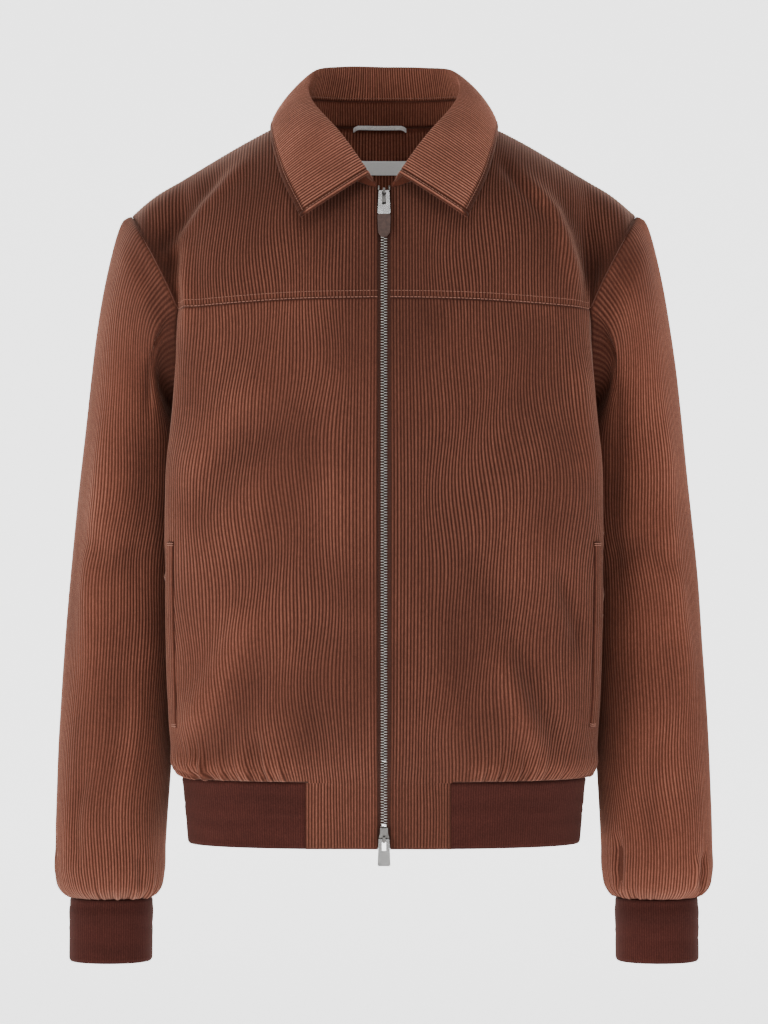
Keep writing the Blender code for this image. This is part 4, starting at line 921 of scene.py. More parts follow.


def pile_cloth(name, valley, flank, ridge, sheen, tint, patch):
    """Cut-pile corduroy: painted shade between the wales, painted sheen on top of them, towards the sides and on
    the sleeves, painted highlight on raised folds and shade in their troughs, with the pile's own mottling."""
    made, tree, shader = new_material(
        name, **{"Roughness": 0.95, "Specular IOR Level": 0.12, "Sheen Weight": sheen, "Sheen Roughness": 0.42,
                 "Sheen Tint": tint},
    )  # fmt: skip
    # The wale's height picks the colour: painted shade in the valleys, painted sheen on the ridges.
    high = attribute(tree, "wale")
    clear = (valley, flank, ridge)
    calm = [tuple((1 - CALM) * c + CALM * f for c, f in zip(colour, flank)) for colour in clear]
    cords = [ramp(tree, high, list(zip((0.0, 0.55, 1.0), colours))).outputs["Color"] for colours in (clear, calm)]
    brushing = ramp(tree, noise(tree, 11.0, 2.0, (1, 1, 0.6)), ((0.40, (0, 0, 0, 1)), (0.62, (1, 1, 1, 1))))
    blend = mix(tree, "MIX", *cords)
    tree.links.new(brushing.outputs["Color"], blend.inputs["Factor"])
    split = tree.nodes.new("ShaderNodeSeparateXYZ")
    tree.links.new(object_place(tree), split.inputs["Vector"])
    away = node(tree, "ShaderNodeMath", operation="ABSOLUTE")
    tree.links.new(split.outputs["X"], away.inputs[0])
    folded = node(tree, "ShaderNodeMath", operation="MULTIPLY_ADD")
    folded.inputs[1].default_value = 0.4
    folded.inputs[2].default_value = 0.5
    tree.links.new(attribute(tree, "fold"), folded.inputs[0])
    colour = blend.outputs["Result"]
    for source, stops in (
        # Painted sheen: darker at the middle of the body, lighter towards its sides where the cloth turns away,
        # lightest on the sleeves.
        (away.outputs["Value"], ((0.02, 0.82), (0.13, 0.92), (0.19, 0.96), (0.23, 1.12))),
        # Painted highlight on raised folds and painted shade in their troughs and in the armpits.
        (folded.outputs["Value"], ((0.0, 0.78), (0.5, 1.0), (1.0, 1.30))),
        (noise(tree, 14.0, 2.0), ((0.3, 1 - patch), (0.7, 1 + patch))),
        (noise(tree, 760.0, 2.0, (1, 1, 0.30)), ((0.25, 0.80), (0.75, 1.20))),
        (noise(tree, 1500.0, 2.0), ((0.35, 0.82), (0.70, 1.18))),
    ):
        colour = shaded(tree, colour, source, *stops)
    tree.links.new(colour, shader.inputs["Base Color"])
    bump(tree, shader, noise(tree, 1300.0, 3.0, (1, 1, 0.5)), 0.35, 0.0006)
    return made


# Valley, flank and ridge colours: the dark valley is painted shade and the light ridge painted sheen on the cord's
# brown.
CORD_COLOURS = ((0.031, 0.0074, 0.0040), (0.063, 0.0190, 0.0112), (0.178, 0.0640, 0.0405))


def tones(factor):
    """The valley, flank and ridge colours of the cord, lighter or darker by one factor."""
    return [tuple(c * factor for c in colour) + (1.0,) for colour in CORD_COLOURS]


SHEEN_TINT = (1.0, 0.60, 0.46, 1)
CORDUROY = pile_cloth("corduroy_cloth", *tones(0.96), 0.32, SHEEN_TINT, 0.10)
# A darker copy for the wearer's left front, its hem tab and pocket lip: painted shade.
CORDUROY_SHADED = pile_cloth("corduroy_shaded", *tones(0.84), 0.26, SHEEN_TINT, 0.10)
# A lighter copy with less sheen for the wearer's left sleeve: painted light.
CORDUROY_LIT = pile_cloth("corduroy_lit", *tones(1.12), 0.16, SHEEN_TINT, 0.10)
# A darker copy for the front yokes, which tilt back: painted shade.
CORDUROY_YOKE_SHADED = pile_cloth("corduroy_yoke_shaded", *tones(0.84), 0.28, SHEEN_TINT, 0.08)
# The collar leaf's cloth is lighter, with much lighter ridges: painted light, and painted sheen on its wales.
COLLAR_LIT_COLOURS = ((0.026, 0.0066, 0.0036, 1), (0.110, 0.0350, 0.0210, 1), (0.520, 0.2020, 0.1340, 1))
CORDUROY_COLLAR_LIT = pile_cloth("corduroy_collar_lit", *COLLAR_LIT_COLOURS, 0.26, SHEEN_TINT, 0.20)
# Much lighter copies for the neck facing and the collar stand, inside the neck: painted light where shade falls.
CORDUROY_INSIDE_LIT = pile_cloth("corduroy_inside_lit", *tones(2.5), 0.20, SHEEN_TINT, 0.08)
CORDUROY_BAND_LIT = pile_cloth("corduroy_band_lit", *tones(1.7), 0.20, SHEEN_TINT, 0.08)


def rib_cloth():
    made, tree, shader = new_material(
        "rib_cloth", **{"Roughness": 0.9, "Specular IOR Level": 0.08, "Sheen Weight": 0.06, "Sheen Roughness": 0.5,
                        "Sheen Tint": (1.0, 0.65, 0.55, 1)},
    )  # fmt: skip
    # Darker between the ribs than on them: painted shade in the hollows.
    between, ridge = (0.026, 0.0068, 0.0050, 1), (0.044, 0.0115, 0.0085, 1)
    colour = ramp(tree, attribute(tree, "wale"), ((0.0, between), (1.0, ridge))).outputs["Color"]
    colour = shaded(tree, colour, noise(tree, 30.0, 3.0, (0.4, 0.4, 2.0)), (0.3, 0.86), (0.7, 1.14))
    colour = shaded(tree, colour, noise(tree, 1100.0, 2.0, (1, 1, 0.6)), (0.3, 0.75), (0.7, 1.25))
    tree.links.new(colour, shader.inputs["Base Color"])
    bump(tree, shader, noise(tree, 900.0, 3.0, (1, 1, 1.6)), 0.3, 0.0005)
    return made


def plain_weave(name, dark, light, scale, stretch, strength, **more):
    made, tree, shader = new_material(name, **{"Roughness": 0.85, "Specular IOR Level": 0.2, **more})
    two_tone(tree, shader, noise(tree, scale, 2.0, stretch), dark, light)
    bump(tree, shader, noise(tree, scale * 1.3, 2.0, stretch), strength, 0.0004)
    return made


RIB = rib_cloth()
THREAD = plain_weave("thread", (0.165, 0.070, 0.048, 1), (0.290, 0.140, 0.100, 1), 1400.0, (1, 1, 1), 0.3)
TAPE = plain_weave("tape_weave", (0.034, 0.012, 0.008, 1), (0.072, 0.028, 0.019, 1), 900.0, (1, 1, 3), 0.4)
LABEL = plain_weave("label_cloth", (0.90, 0.90, 0.88, 1), (0.99, 0.99, 0.97, 1), 1500.0, (0.4, 1, 2.5), 0.25)
LOOP = plain_weave("loop_cloth", (0.34, 0.32, 0.31, 1), (0.80, 0.77, 0.75, 1), 1200.0, (3, 1, 0.6), 0.5)


def metal(name, dark, light, rough):
    made, tree, shader = new_material(name, **{"Metallic": 1.0, "Roughness": rough})
    two_tone(tree, shader, noise(tree, 220.0, 3.0), dark, light)
    bump(tree, shader, noise(tree, 700.0, 3.0), 0.03, 0.0001)
    return made


NICKEL = metal("nickel_plate", (0.46, 0.45, 0.44, 1), (0.62, 0.61, 0.60, 1), 0.24)
# A much darker copy for the zip sliders, so their slots read dark: painted shade.
NICKEL_SHADE = metal("nickel_shaded", (0.10, 0.095, 0.09, 1), (0.22, 0.21, 0.20, 1), 0.35)
TOOTH = metal("tooth_metal", (0.30, 0.29, 0.27, 1), (0.50, 0.48, 0.45, 1), 0.28)


def leather():
    made, tree, shader = new_material("leather_grain", **{"Roughness": 0.5, "Specular IOR Level": 0.35})
    cells = node(tree, "ShaderNodeTexVoronoi", Scale=1500.0)
    tree.links.new(object_place(tree), cells.inputs["Vector"])
    two_tone(tree, shader, noise(tree, 300.0, 3.0), (0.040, 0.022, 0.017, 1), (0.075, 0.042, 0.033, 1))
    bump(tree, shader, cells.outputs["Distance"], 0.35, 0.0003)
    return made


LEATHER = leather()


# ---- pieces
def put(name, mesh, material, nodes, body="jacket"):
    mesh.materials.append(material)
    piece = bpy.data.objects.new(name, mesh)
    bpy.context.scene.collection.objects.link(piece)
    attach(piece, body)
    if nodes:
        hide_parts(*nodes)
    return piece


def sewn(name, material, slot, stands_for, P, side, high, **how):
    """One piece of cloth as its own object, with its outer face and its normals."""
    made = Builder()
    face = shell(made, P, side, high, **how)
    return put(name, made.mesh(name), material, [stands_for]), face


WORDS = {1: "left", -1: "right"}
EDGE_ROLL = 1.5

# ---- fronts, yokes, tabs
FRONT_REACH = 0.288
FRONT_TALL = 0.400
SIDE_SHARE = 1 - 0.0006  # the fronts and the back both stop just short of the side seam
front_shares, front_high = wale_columns(SHARE_ZIP, SIDE_SHARE, FRONT_REACH)
front_rows = rows_between(FRONT_TALL, 5.2 * MM, (0.7, 1.8, 3.2, 4.8))
YOKE_LAST_X = float(ARMHOLE_LINE[-4, 0])
# The pocket: the share of the front at which it starts and how that changes with height, how far beyond it the
# recess lies and how wide it is (both shares), its lower and upper end, and its depth in mm.
POCKET = {"share": 0.670, "slant": -0.19, "inset": 0.024, "wide": 0.017, "low": -0.530, "high": -0.368, "deep": 3.4}


TIGHT = 0.02 * MM  # the seams at the hem tabs
YOKE_GAP = 0.05 * MM


def front_z(rows, on_tab):
    top = front_top_z(front_shares) - YOKE_GAP
    low = RIB_TOP_Z + np.where(on_tab, TIGHT, SEAM / 2)
    return low + (top - low) * rows[:, None]


def pocket_share(z):
    """The share of the front at which the slanted pocket starts."""
    return POCKET["share"] + POCKET["slant"] * (z - POCKET["low"])


def pocket_recess(shares, z):
    """The underlay behind the pocket's lip lies lower than the front."""
    across = (shares - pocket_share(z) - POCKET["inset"]) / POCKET["wide"]
    ends = ease((z - POCKET["low"]) / 0.02) * ease((POCKET["high"] - z) / 0.02)
    step = np.where(across < 0, np.exp(-((across / 0.35) ** 2)), np.exp(-((across / 2.4) ** 2)))
    return -POCKET["deep"] * MM * step * ends


def clear_of_armhole(P):
    """0 on the armhole seam, 1 from 16 mm away from it."""
    P = np.concatenate([np.abs(P[..., :1]), P[..., 1:]], axis=-1)
    nearest = np.full(P.shape[:2], 1.0)
    for point in ARMHOLE_EDGE[::4]:
        nearest = np.minimum(nearest, np.linalg.norm(P - point, axis=-1))
    return ease((nearest - 0.002) / 0.014)


def fold_value(relief):
    """How far cloth is up a fold (above zero) or down in one, in units of 4 mm."""
    return np.clip(relief / (4 * MM), -1.2, 1.2)


def relieved(P, back, side, more=0.0):
    """The panel with its folds, and its fold values."""
    P = wander(P, 2.4 * MM, 2.6 if back else 0.7 + 0.5 * side, 0.0 if back else 0.035)
    relief = body_relief(P, back) * clear_of_armhole(P) + more
    return P + grid_normals(P, side) * relief[..., None], fold_value(relief)


# The wearer's left front takes the darker copy: painted shade.
FRONT_CLOTH = {1: CORDUROY_SHADED, -1: CORDUROY}
# The wearer's left sleeve takes the lighter copy: painted light.
SLEEVE_CLOTH = {1: CORDUROY_LIT, -1: CORDUROY}
TAB_WIDTH = {1: TAB_LEFT, -1: TAB_RIGHT}
hem_x = body_point(FRONT_ANGLES, front_shares, np.full_like(front_shares, RIB_TOP_Z))[:, 0]
for side, word in WORDS.items():
    on_tab = hem_x < TAB_WIDTH[side]
    z = front_z(front_rows, on_tab)
    P = mirrored(body_point(FRONT_ANGLES, front_shares[None, :], z), side)
    P, fold = relieved(P, False, side, pocket_recess(front_shares[None, :], z))
    drops = (("high", 0.25), ("low", np.where(on_tab, 0, EDGE_ROLL)), ("first", 0.8), ("last", 1.2))
    piece, _ = sewn(
        f"front_panel_{word}", FRONT_CLOTH[side], "corduroy", f"front_{word}",
        P, side, front_high, drops=drops, fold=fold,
    )  # fmt: skip

YOKE_TALL = 0.170
yoke_rows = rows_between(YOKE_TALL, 3.6 * MM)
seam_x = yoke_seam_points(front_shares[front_shares < SHARE_END])[:, 0]
beyond, beyond_high = wale_columns(seam_x[-1], YOKE_LAST_X, YOKE_LAST_X - seam_x[-1])
yoke_x = np.concatenate([seam_x, beyond[1:]])
yoke_high = np.concatenate([front_high[: len(seam_x)], beyond_high[1:]])
for side, word in WORDS.items():
    grid = evened(yoke_points(yoke_x, yoke_rows), 26, yoke_rows)
    grid[0, :, 2] += np.where(yoke_x <= YOKE_END_X, YOKE_GAP, 0)
    P, fold = relieved(mirrored(grid, side), False, side)
    piece, face = sewn(
        f"yoke_panel_{word}", CORDUROY_YOKE_SHADED, "corduroy", f"front_yoke_{word}",
        P, side, yoke_high, drops=(("high", 0.9), ("low", 0.25), ("first", 0.8), ("last", 0.3)), fold=fold,
    )  # fmt: skip
    seam_columns = int(np.interp(YOKE_END_X, yoke_x, np.arange(len(yoke_x))))
    for away, thick in ((0.7 * MM, 0.36 * MM), (6.2 * MM, 0.20 * MM)):
        line, normals = line_at(*face, 0, False, away)
        stitch_line(STITCHES, line[:seam_columns], normals[:seam_columns], 3.5 * MM, 2.6 * MM, thick)

for side, word in WORDS.items():
    width = TAB_WIDTH[side] - TIGHT
    kept = hem_x < width - 1.2 * MM
    x = np.append(hem_x[kept], width)
    high = np.append(front_high[kept], 0.2)
    rows = rows_between(RIB_TOP_Z - HEM_Z, 6 * MM)
    grids = []
    for z in HEM_Z + (RIB_TOP_Z - TIGHT - HEM_Z) * rows:
        sx, sy = section(np.linspace(0, math.pi / 2, 361), z)
        top = int(np.argmax(sx))
        grids.append(np.stack([x, np.interp(x, sx[: top + 1], sy[: top + 1]), np.full_like(x, z)], 1))
    P, fold = relieved(mirrored(np.array(grids), side), False, side)
    piece, _ = sewn(
        f"tab_{word}", FRONT_CLOTH[side], "corduroy", f"hem_tab_{word}",
        P, side, high, drops=(("low", 0.9), ("first", 0.8), ("last", 0.5)), coarse=(6, 8), fold=fold,
    )  # fmt: skip

# ---- pocket lips
LIP_FIRST, LIP_MIDDLE, LIP_LAST = 0.679, 0.695, 0.7105  # shares of the front's wales that the lip takes
LIP_TALL = POCKET["high"] - POCKET["low"]
for side, word in WORDS.items():
    kept = (front_shares > LIP_FIRST) & (front_shares < LIP_LAST)
    z = POCKET["low"] + LIP_TALL * rows_between(LIP_TALL, 8 * MM)[:, None]
    shares = front_shares[kept][None, :] - LIP_MIDDLE + pocket_share(z)
    P, _ = relieved(mirrored(body_point(FRONT_ANGLES, shares, z), side), False, side, 2.1 * MM)
    drops = (("low", 0.9), ("high", 0.9), ("first", 1.3), ("last", 0.5))
    piece, face = sewn(
        f"pocket_lip_{word}", FRONT_CLOTH[side], "corduroy", f"pocket_welt_{word}",
        P, side, front_high[kept], wall=1.5 * MM, drops=drops, coarse=(20, 4),
    )  # fmt: skip
    for away in (1.5 * MM, 3.2 * MM):
        for far in (False, True):
            line, normals = line_at(*face, 0, far, away)
            stitch_line(STITCHES, line, normals, 3.0 * MM, 2.6 * MM, 0.42 * MM)

# ---- back
WALES_HALF_BACK = 95
CENTRE_PHASE = 0.56  # the share of a wale at which its ridge stands, on the centre back line
wale_share = SIDE_SHARE / (WALES_HALF_BACK - CENTRE_PHASE)
half_shares, half_high = (
    values[3:] for values in wale_columns(-CENTRE_PHASE * wale_share, SIDE_SHARE, WALES_HALF_BACK * WALE)
)
half_shares[0] = 0.0
BACK_STEPS = half_shares <= SHARE_BACK_END
BACK_TALL = 0.400  # from the ribbing to the underarm and up the armhole, along the wales
lower_rows = rows_between(BACK_TALL, 8 * MM, (0.7, 1.8, 3.2, 5.0))
upper_rows = np.linspace(0, 1, 25) ** 0.95
upper_rows = np.concatenate([upper_rows[:-1], [0.985, 0.994, 1.0]])


def joined(half):
    """Both sides of a piece from its left half, whose first column lies on the middle."""
    return np.concatenate([mirrored(half[:, :0:-1], -1), half], axis=1)


def both_halves(high):
    return np.concatenate([high[:0:-1], high])


low = RIB_TOP_Z + SEAM / 2
lower_z = low + (back_top_z(half_shares) - low) * lower_rows[:, None]
lower = joined(body_point(BACK_ANGLES, half_shares[None, :], lower_z))[:, ::-1]
upper = evened(joined(back_upper_points(half_shares[BACK_STEPS], upper_rows))[:, ::-1], 30, upper_rows)
lower, lower_fold = relieved(lower, True, 1)
upper, upper_fold = relieved(upper, True, 1)
edge_columns = len(half_shares) - int(BACK_STEPS.sum())
upper[0] = lower[-1, edge_columns:-edge_columns]
made = Builder()
for P, high, drops, coarse, fold in (
    (lower, half_high, (("low", EDGE_ROLL), ("first", 1.2), ("last", 1.2)), (26, 60), lower_fold),
    (upper, half_high[BACK_STEPS], (("high", 0.9), ("first", 0.4), ("last", 0.4)), (12, 50), upper_fold),
):
    shell(made, P, 1, both_halves(high), drops=drops, coarse=coarse, fold=fold)
piece = put("back_panel", made.mesh("back_panel"), CORDUROY, ["back"])

# ---- sleeves
turn = np.linspace(0, 2 * math.pi, 2001)
SLEEVE_RULE_Z, CUFF_RULE_Z = -0.45, -0.72  # wales and ribs are laid out round the sleeve and cuff here
HEAD_RISE, UNDER_SINK, PIT_SHADE = 3.4 * MM, 3.0 * MM, 9.6 * MM
ring = sleeve_point(turn, np.full_like(turn, SLEEVE_RULE_Z))
ring_arc = arc_along(ring)
SLEEVE_ROUND = float(ring_arc[-1])
start_arc = float(np.interp(math.pi, turn, ring_arc))
arc_columns, sleeve_high = wale_columns(start_arc - SLEEVE_ROUND, start_arc, SLEEVE_ROUND)
sleeve_turns = np.interp(np.mod(arc_columns, SLEEVE_ROUND), ring_arc, turn)
cap_rows = np.concatenate([[0, 0.004, 0.010, 0.020], np.linspace(0.04, 1, 28)])
tube_z = np.concatenate([np.linspace(CAP_END_Z - 0.008, -0.650, 46), np.linspace(-0.654, SLEEVE_LOW_Z, 12)])
for side, word in WORDS.items():
    cap = cap_points(sleeve_turns, cap_rows)
    tube = sleeve_point(sleeve_turns[None, :], tube_z[:, None])
    P = np.concatenate([cap, tube])[::-1, ::-1]
    theta = np.broadcast_to(sleeve_turns[::-1], P.shape[:2])
    P = mirrored(P, side)
    N = grid_normals(P, side)
    P = wander(P, 1.8 * MM, 1.3 + side)
    top_reach = reach_from(P, 0, True)
    head = HEAD_RISE * np.exp(-((top_reach / 0.026) ** 2)) * ease((top_reach + 0.001) / 0.010) * np.cos(theta / 2) ** 4
    under = -UNDER_SINK * np.exp(-(((top_reach - 0.012) / 0.012) ** 2)) * np.maximum(np.sin(theta), 0) ** 2
    # Painted shade in the armpit: it lowers only the fold value that colours the sleeve, not its shape.
    painted_pit_shade = PIT_SHADE * np.exp(-((top_reach / 0.085) ** 2)) * np.maximum(np.sin(theta * 0.5) ** 2 - 0.35, 0)
    relief = sleeve_relief(theta, P[..., 2], side) * ease(top_reach / 0.02) + head + under
    P = P + N * relief[..., None]
    drops = (("high", 0.5), ("low", EDGE_ROLL), ("first", 0.6), ("last", 0.6))
    piece, _ = sewn(
        f"sleeve_panel_{word}", SLEEVE_CLOTH[side], "corduroy", f"sleeve_{word}",
        P, side, sleeve_high[::-1], drops=drops, coarse=(40, 30), fold=fold_value(relief - painted_pit_shade),
    )  # fmt: skip

# ---- ribbing
RIB_PITCH = 2.1 * MM
RIB_STEPS = ((0.0, 0.0), (0.35, 1.0), (0.65, 1.0))
RIB_WALL = 2.2 * MM
RIB_LINES = ((0.40, -0.55), (0.52, 0.35), (0.60, -0.60))  # share of the height and mm


def rib_lines(P, rows):
    """Faint uneven creases across the ribbing."""
    out = np.zeros(P.shape[:2])
    for share, deep in RIB_LINES:
        drift = 0.05 * np.sin(P[..., 0] / 0.035 + 9 * share)
        strong = 0.5 + 0.5 * np.sin(P[..., 0] / 0.052 + 40 * share)
        out += deep * MM * strong * np.exp(-(((rows[:, None] - share - drift) / 0.028) ** 2))
    return out


RIB_ROUND = 0.850
RIB_DEEP = 0.28 * MM
phi = np.linspace(0, math.pi, 1441)
rib_rows = rows_between(RIB_TOP_Z - HEM_Z, 3.2 * MM)
grids = []
for z in HEM_Z + (RIB_TOP_Z - SEAM / 2 - HEM_Z) * rib_rows:
    sx, sy = section(phi, z)
    arc = arc_along(np.stack([sx, sy], 1))
    first, last = (float(np.interp(w + TIGHT, sx[:600], arc[:600])) for w in (TAB_LEFT, TAB_RIGHT))
    total = 2 * arc[-1]
    at, rib_high = wale_columns(first, total - last, RIB_ROUND, RIB_PITCH, RIB_STEPS)
    x = np.where(at <= arc[-1], np.interp(at, arc, sx), -np.interp(total - at, arc, sx))
    y = np.interp(np.where(at <= arc[-1], at, total - at), arc, sy)
    grids.append(np.stack([x, y, np.full_like(x, z)], 1))
P = np.array(grids)
P = P + grid_normals(P, 1) * rib_lines(P, rib_rows)[..., None]
drops = (("low", 0.9), ("high", 1.4), ("first", 0.3), ("last", 0.3))
piece, _ = sewn(
    "waist_rib", RIB, "rib_knit", "hem_rib", P, 1, rib_high, deep=RIB_DEEP, wall=RIB_WALL, drops=drops, coarse=(6, 80)
)

for side, word in WORDS.items():
    ring = sleeve_point(turn, np.full_like(turn, CUFF_RULE_Z))
    arc = arc_along(ring)
    at, cuff_high = wale_columns(-0.5 * arc[-1], 0.5 * arc[-1], float(arc[-1]), RIB_PITCH, RIB_STEPS)
    turns = np.interp(np.mod(at, arc[-1]), arc, turn)
    cuff_rows = rows_between(CUFF_TOP_Z - CUFF_END_Z, 3.2 * MM)
    z = CUFF_END_Z + (CUFF_TOP_Z - CUFF_END_Z) * cuff_rows[:, None]
    P = mirrored(sleeve_point(turns[None, :], z), side)[:, ::-1]
    P = P + grid_normals(P, side) * rib_lines(P, cuff_rows)[..., None]
    piece, _ = sewn(
        f"wrist_rib_{word}", RIB, "rib_knit", f"cuff_{word}",
        P, side, cuff_high, deep=RIB_DEEP, wall=RIB_WALL, drops=(("low", 0.9), ("high", 1.4)), coarse=(6, 40),
    )  # fmt: skip

# ---- collar
fine_along = np.linspace(0, 1, 400)
leaf_line = leaf_points(fine_along, [1.55])[0]
leaf_arc = arc_along(leaf_line)
leaf_at, half_high = wale_columns(0.0, float(leaf_arc[-1]), float(leaf_arc[-1]))
half_along = np.interp(leaf_at, leaf_arc, fine_along)
both_high = both_halves(half_high)
leaf_rows = np.concatenate([
    [0, 0.02, 0.05, 0.12], np.linspace(0.22, 0.86, 7), np.linspace(0.92, 1.14, 9), np.linspace(1.2, 1.9, 13),
    [1.93, 1.955, 1.975, 1.99, 2.0],
])  # fmt: skip
P = wander(joined(leaf_points(half_along, leaf_rows)), 1.0 * MM, 0.4)
waves = 0.9 * slow_waves(P[..., 0], P[..., 2], 0.9) * ease(reach_from(P, 0, False) / 0.02)
piece, (leaf_outer, leaf_N) = sewn(
    "collar_fall", CORDUROY_COLLAR_LIT, "corduroy", "collar_leaf",
    P + grid_normals(P, 1) * waves[..., None], 1, both_high,
    drops=(("low", 0.4), ("high", 1.3), ("first", 1.1), ("last", 1.1)),
    flat=(("high", 3.6),), coarse=(26, 60), groove=("high", "first", "last"),
)  # fmt: skip
COLLAR_STITCH = (3.4 * MM, 2.5 * MM, 0.34 * MM)  # pitch, length and thickness
SEAM_STITCH_INSET = 3.0 * MM
across = reach_from(leaf_outer, 1, False)
for axis, far in ((0, True), (1, False), (1, True)):
    line, normals = line_at(leaf_outer, leaf_N, axis, far, STITCH_INSET)
    other = reach_from(leaf_outer, 1 - axis, True)
    if axis == 0:
        inside = (other[-1] > STITCH_INSET) & (across[-1] > STITCH_INSET)
    else:
        inside = (other[:, 0 if not far else -1] > STITCH_INSET) & (leaf_rows > 1.05)
    stitch_line(STITCHES, line[inside], normals[inside], *COLLAR_STITCH)
line, normals = line_at(leaf_outer, leaf_N, 0, False, SEAM_STITCH_INSET)
stitch_line(STITCHES, line, normals, *COLLAR_STITCH)

STAND_TALL = 0.024
stand_rows = rows_between(STAND_TALL, 4 * MM)
piece, _ = sewn(
    "collar_band", CORDUROY_BAND_LIT, "corduroy", "collar_stand", joined(stand_points(half_along, stand_rows)),
    1, both_high, wall=1.8 * MM, drops=(("low", 0.8), ("high", 0.4)), coarse=(5, 60),
)  # fmt: skip

# ---- inside the back neck
FACING_WALL = 1.5 * MM
FACING_HALF = 0.078
at = np.linspace(0, SHARE_BACK_NECK, 400)
reach_x = back_upper_points(at, np.array([1.0]))[0, :, 0]
half_x, half_high = wale_columns(0.0, FACING_HALF, FACING_HALF)
facing_shares = np.interp(half_x, reach_x, at)
FACING_LOW = 0.40  # the share of the upper back at which the facing starts
facing_rows = np.linspace(FACING_LOW, 1.0, 20)
base = joined(back_upper_points(facing_shares, facing_rows))
P = base + grid_normals(base, 1) * (WALL + SEAM + FACING_WALL)
piece, (facing_outer, _) = sewn(
    "neck_facing", CORDUROY_INSIDE_LIT, "corduroy", "back_neck_facing",
    P, 1, both_halves(half_high), wall=1.2 * MM, drops=[(edge, 0.8) for edge in EDGES], coarse=(8, 24),
)  # fmt: skip

LABEL_LOW_Z, LABEL_TOP_Z, LABEL_HALF = -0.0302, -0.0180, 23.0 * MM
LABEL_BOW = 1.5 * MM
LABEL_PROUD = 1.1 * MM
label_x = np.linspace(-LABEL_HALF, LABEL_HALF, 25)[None, :]
label_z = np.linspace(LABEL_LOW_Z, LABEL_TOP_Z, 7)[:, None]
middle = facing_outer[:, facing_outer.shape[1] // 2 - 6 : facing_outer.shape[1] // 2 + 7]
depth = np.interp(label_z, middle[..., 2].mean(1), middle[..., 1].min(1))
P = stack(label_x, depth - LABEL_PROUD - LABEL_BOW * (label_x / LABEL_HALF) ** 2, label_z)
drops = (("low", 0.2), ("high", 0.2))
piece, _ = sewn(
    "label", LABEL, "label_weave", "neck_label",
    P, 1, 0.0, deep=0.0, wall=0.6 * MM, drops=drops, wide=0.8 * MM, coarse=(4, 9),
)  # fmt: skip

LOOP_FIRST_X, LOOP_LAST_X, LOOP_LOW_Z = -0.0283, 0.0206, 0.0064
LOOP_WIDE = 3.9 * MM
LOOP_PROUD, LOOP_LIFT, LOOP_RISE = 1.0 * MM, 3.0 * MM, 2.4 * MM
along = np.linspace(0, 1, 41)[None, :]
loop_x = LOOP_FIRST_X + (LOOP_LAST_X - LOOP_FIRST_X) * along
lifted = np.minimum(1, np.sin(math.pi * along) * 3.2) ** 0.6
depth = np.interp(loop_x, facing_outer[-1, :, 0], facing_outer[-1, :, 1]) - LOOP_PROUD - LOOP_LIFT * lifted
P = stack(loop_x, depth, LOOP_LOW_Z + LOOP_RISE * lifted + LOOP_WIDE * np.linspace(0, 1, 5)[:, None])
drops = (("low", 0.3), ("high", 0.3))
sewn(
    "hanging_loop", LOOP, "loop_tape", "hanger_loop",
    P, 1, 0.0, deep=0.0, wall=0.7 * MM, drops=drops, wide=1.0 * MM, coarse=(4, 21),
)  # fmt: skip

# ---- zip
upper = yoke_points(np.array([ZIP_OPENING]), np.linspace(0, 1, 25))[:, 0]
lower = body_point(FRONT_ANGLES, SHARE_ZIP, np.linspace(HEM_Z, YOKE_CENTRE_Z - 0.004, 90))
CENTRE = np.vstack([lower, upper])


def centre_depth(z):
    return np.interp(z, CENTRE[:, 2], CENTRE[:, 1])


TOOTH_PITCH = 2.4 * MM
TOOTH_X, TOOTH_SUNK = 1.40 * MM, 1.0 * MM
TOOTH_HALF = (1.45 * MM, 0.52 * MM, 1.0 * MM)
STOP_X, STOP_PROUD, STOP_Z = 4.6 * MM, 0.6 * MM, -0.0588
STOP_HALF = (1.9 * MM, 1.0 * MM, 1.0 * MM)
STOP_AXES = [np.array(axis) for axis in ((0.0, 0.42, 1.0), (1.0, 0.0, 0.0), (0.0, -1.0, 0.42))]
CHAIN_LOW_Z, CHAIN_TOP_Z = -0.6195, -0.0673
for side, word in WORDS.items():
    teeth = Beads()
    start = CHAIN_LOW_Z + (0.9 + 0.6 * side) * MM
    for z in np.arange(start, CHAIN_TOP_Z - 0.6 * MM, TOOTH_PITCH):
        slope = (centre_depth(z + 0.003) - centre_depth(z - 0.003)) / 0.006
        up = np.array([0, slope, 1.0]) / math.hypot(slope, 1)
        out = np.array([0, -up[2], up[1]])
        centre = np.array([side * TOOTH_X, centre_depth(z), z]) - out * TOOTH_SUNK
        teeth.add(centre, np.array([1.0, 0, 0]), up, out, TOOTH_HALF)
    centre = np.array([side * STOP_X, centre_depth(STOP_Z) - STOP_PROUD, STOP_Z])
    teeth.add(centre, *STOP_AXES, STOP_HALF)
    put(f"zip_teeth_{word}", teeth.mesh(f"zip_teeth_{word}"), TOOTH, [f"zip_chain_{word}"])

put("topstitching", STITCHES.mesh("topstitching"), THREAD, [])

for material, names in (
    (NICKEL_SHADE, ("zip_slider_top", "zip_slider_bottom")),
    (NICKEL, ("zip_pull_top", "zip_pull_bottom")),
    (LEATHER, ("zip_tab_leather",)),
    (TAPE, ("zip_tape_left", "zip_tape_right")),
):
    for name in names:
        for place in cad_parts[name].material_slots:
            place.material = material


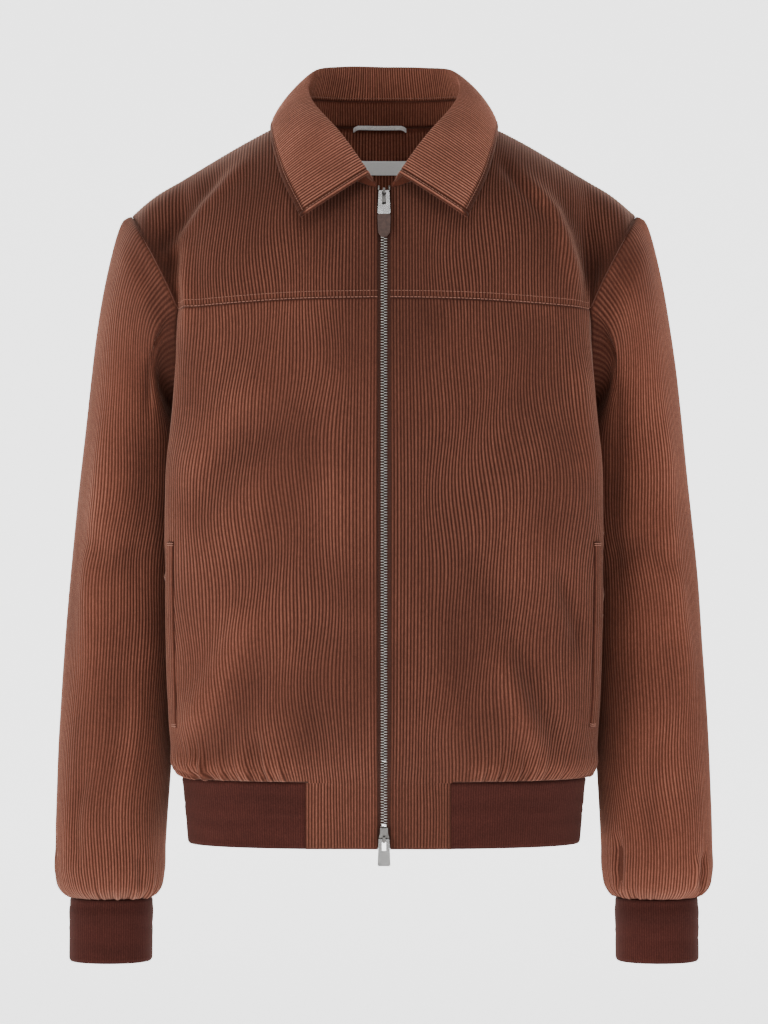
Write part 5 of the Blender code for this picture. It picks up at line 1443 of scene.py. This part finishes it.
# ---- camera, floor and light
def stage_and_light():
    data = bpy.data.cameras.new("camera")
    data.lens = 117.2
    data.sensor_width = 36.0
    data.sensor_fit = "AUTO"
    data.clip_end = 50.0
    camera = bpy.data.objects.new("camera", data)
    camera.location = (0.0, -3.0, -0.342)
    camera.rotation_euler = (math.pi / 2, 0, 0)
    bpy.context.scene.collection.objects.link(camera)
    bpy.context.scene.camera = camera

    profile = [(-9.0, -2.2), (5.0, -2.2), (5.9, -2.05), (6.3, -1.75), (6.5, -1.3), (6.5, 9.0)]
    verts = [(x, y, z) for x in (-13.0, 13.0) for y, z in profile]
    count = len(profile)
    faces = [(i, i + 1, count + i + 1, count + i) for i in range(count - 1)]
    mesh = bpy.data.meshes.new("backdrop")
    mesh.from_pydata(verts, [], faces)
    for polygon in mesh.polygons:
        polygon.use_smooth = True
    paper, _, _ = new_material(
        "paper", **{"Base Color": (0.93, 0.93, 0.93, 1), "Roughness": 1.0, "Specular IOR Level": 0.0,
                    "Emission Color": (1, 1, 1, 1), "Emission Strength": 2.0},
    )  # fmt: skip
    mesh.materials.append(paper)
    backdrop = bpy.data.objects.new("backdrop", mesh)
    bpy.context.scene.collection.objects.link(backdrop)

    world = bpy.data.worlds.new("studio")
    world.use_nodes = True
    world.node_tree.nodes["Background"].inputs["Color"].default_value = (1, 1, 1, 1)
    world.node_tree.nodes["Background"].inputs["Strength"].default_value = 0.34
    bpy.context.scene.world = world
    for name, place, size, power, aim in (
        ("key", (-2.5, -1.8, -0.45), 1.8, 72.0, (0, 0, -0.35)),
        ("fill", (3.1, -1.1, -0.2), 2.0, 36.0, (0, 0, -0.35)),
        ("top", (0.0, -2.1, 1.4), 0.9, 21.0, (0, 0, 0.0)),
    ):
        lamp = bpy.data.lights.new(name, "AREA")
        lamp.size = size
        lamp.energy = power
        holder = bpy.data.objects.new(name, lamp)
        holder.location = place
        way = np.array(aim) - np.array(place)
        pitch = math.atan2(np.hypot(way[0], way[1]), -way[2])
        holder.rotation_euler = (pitch, 0, math.atan2(way[1], way[0]) - math.pi / 2)
        bpy.context.scene.collection.objects.link(holder)


stage_and_light()
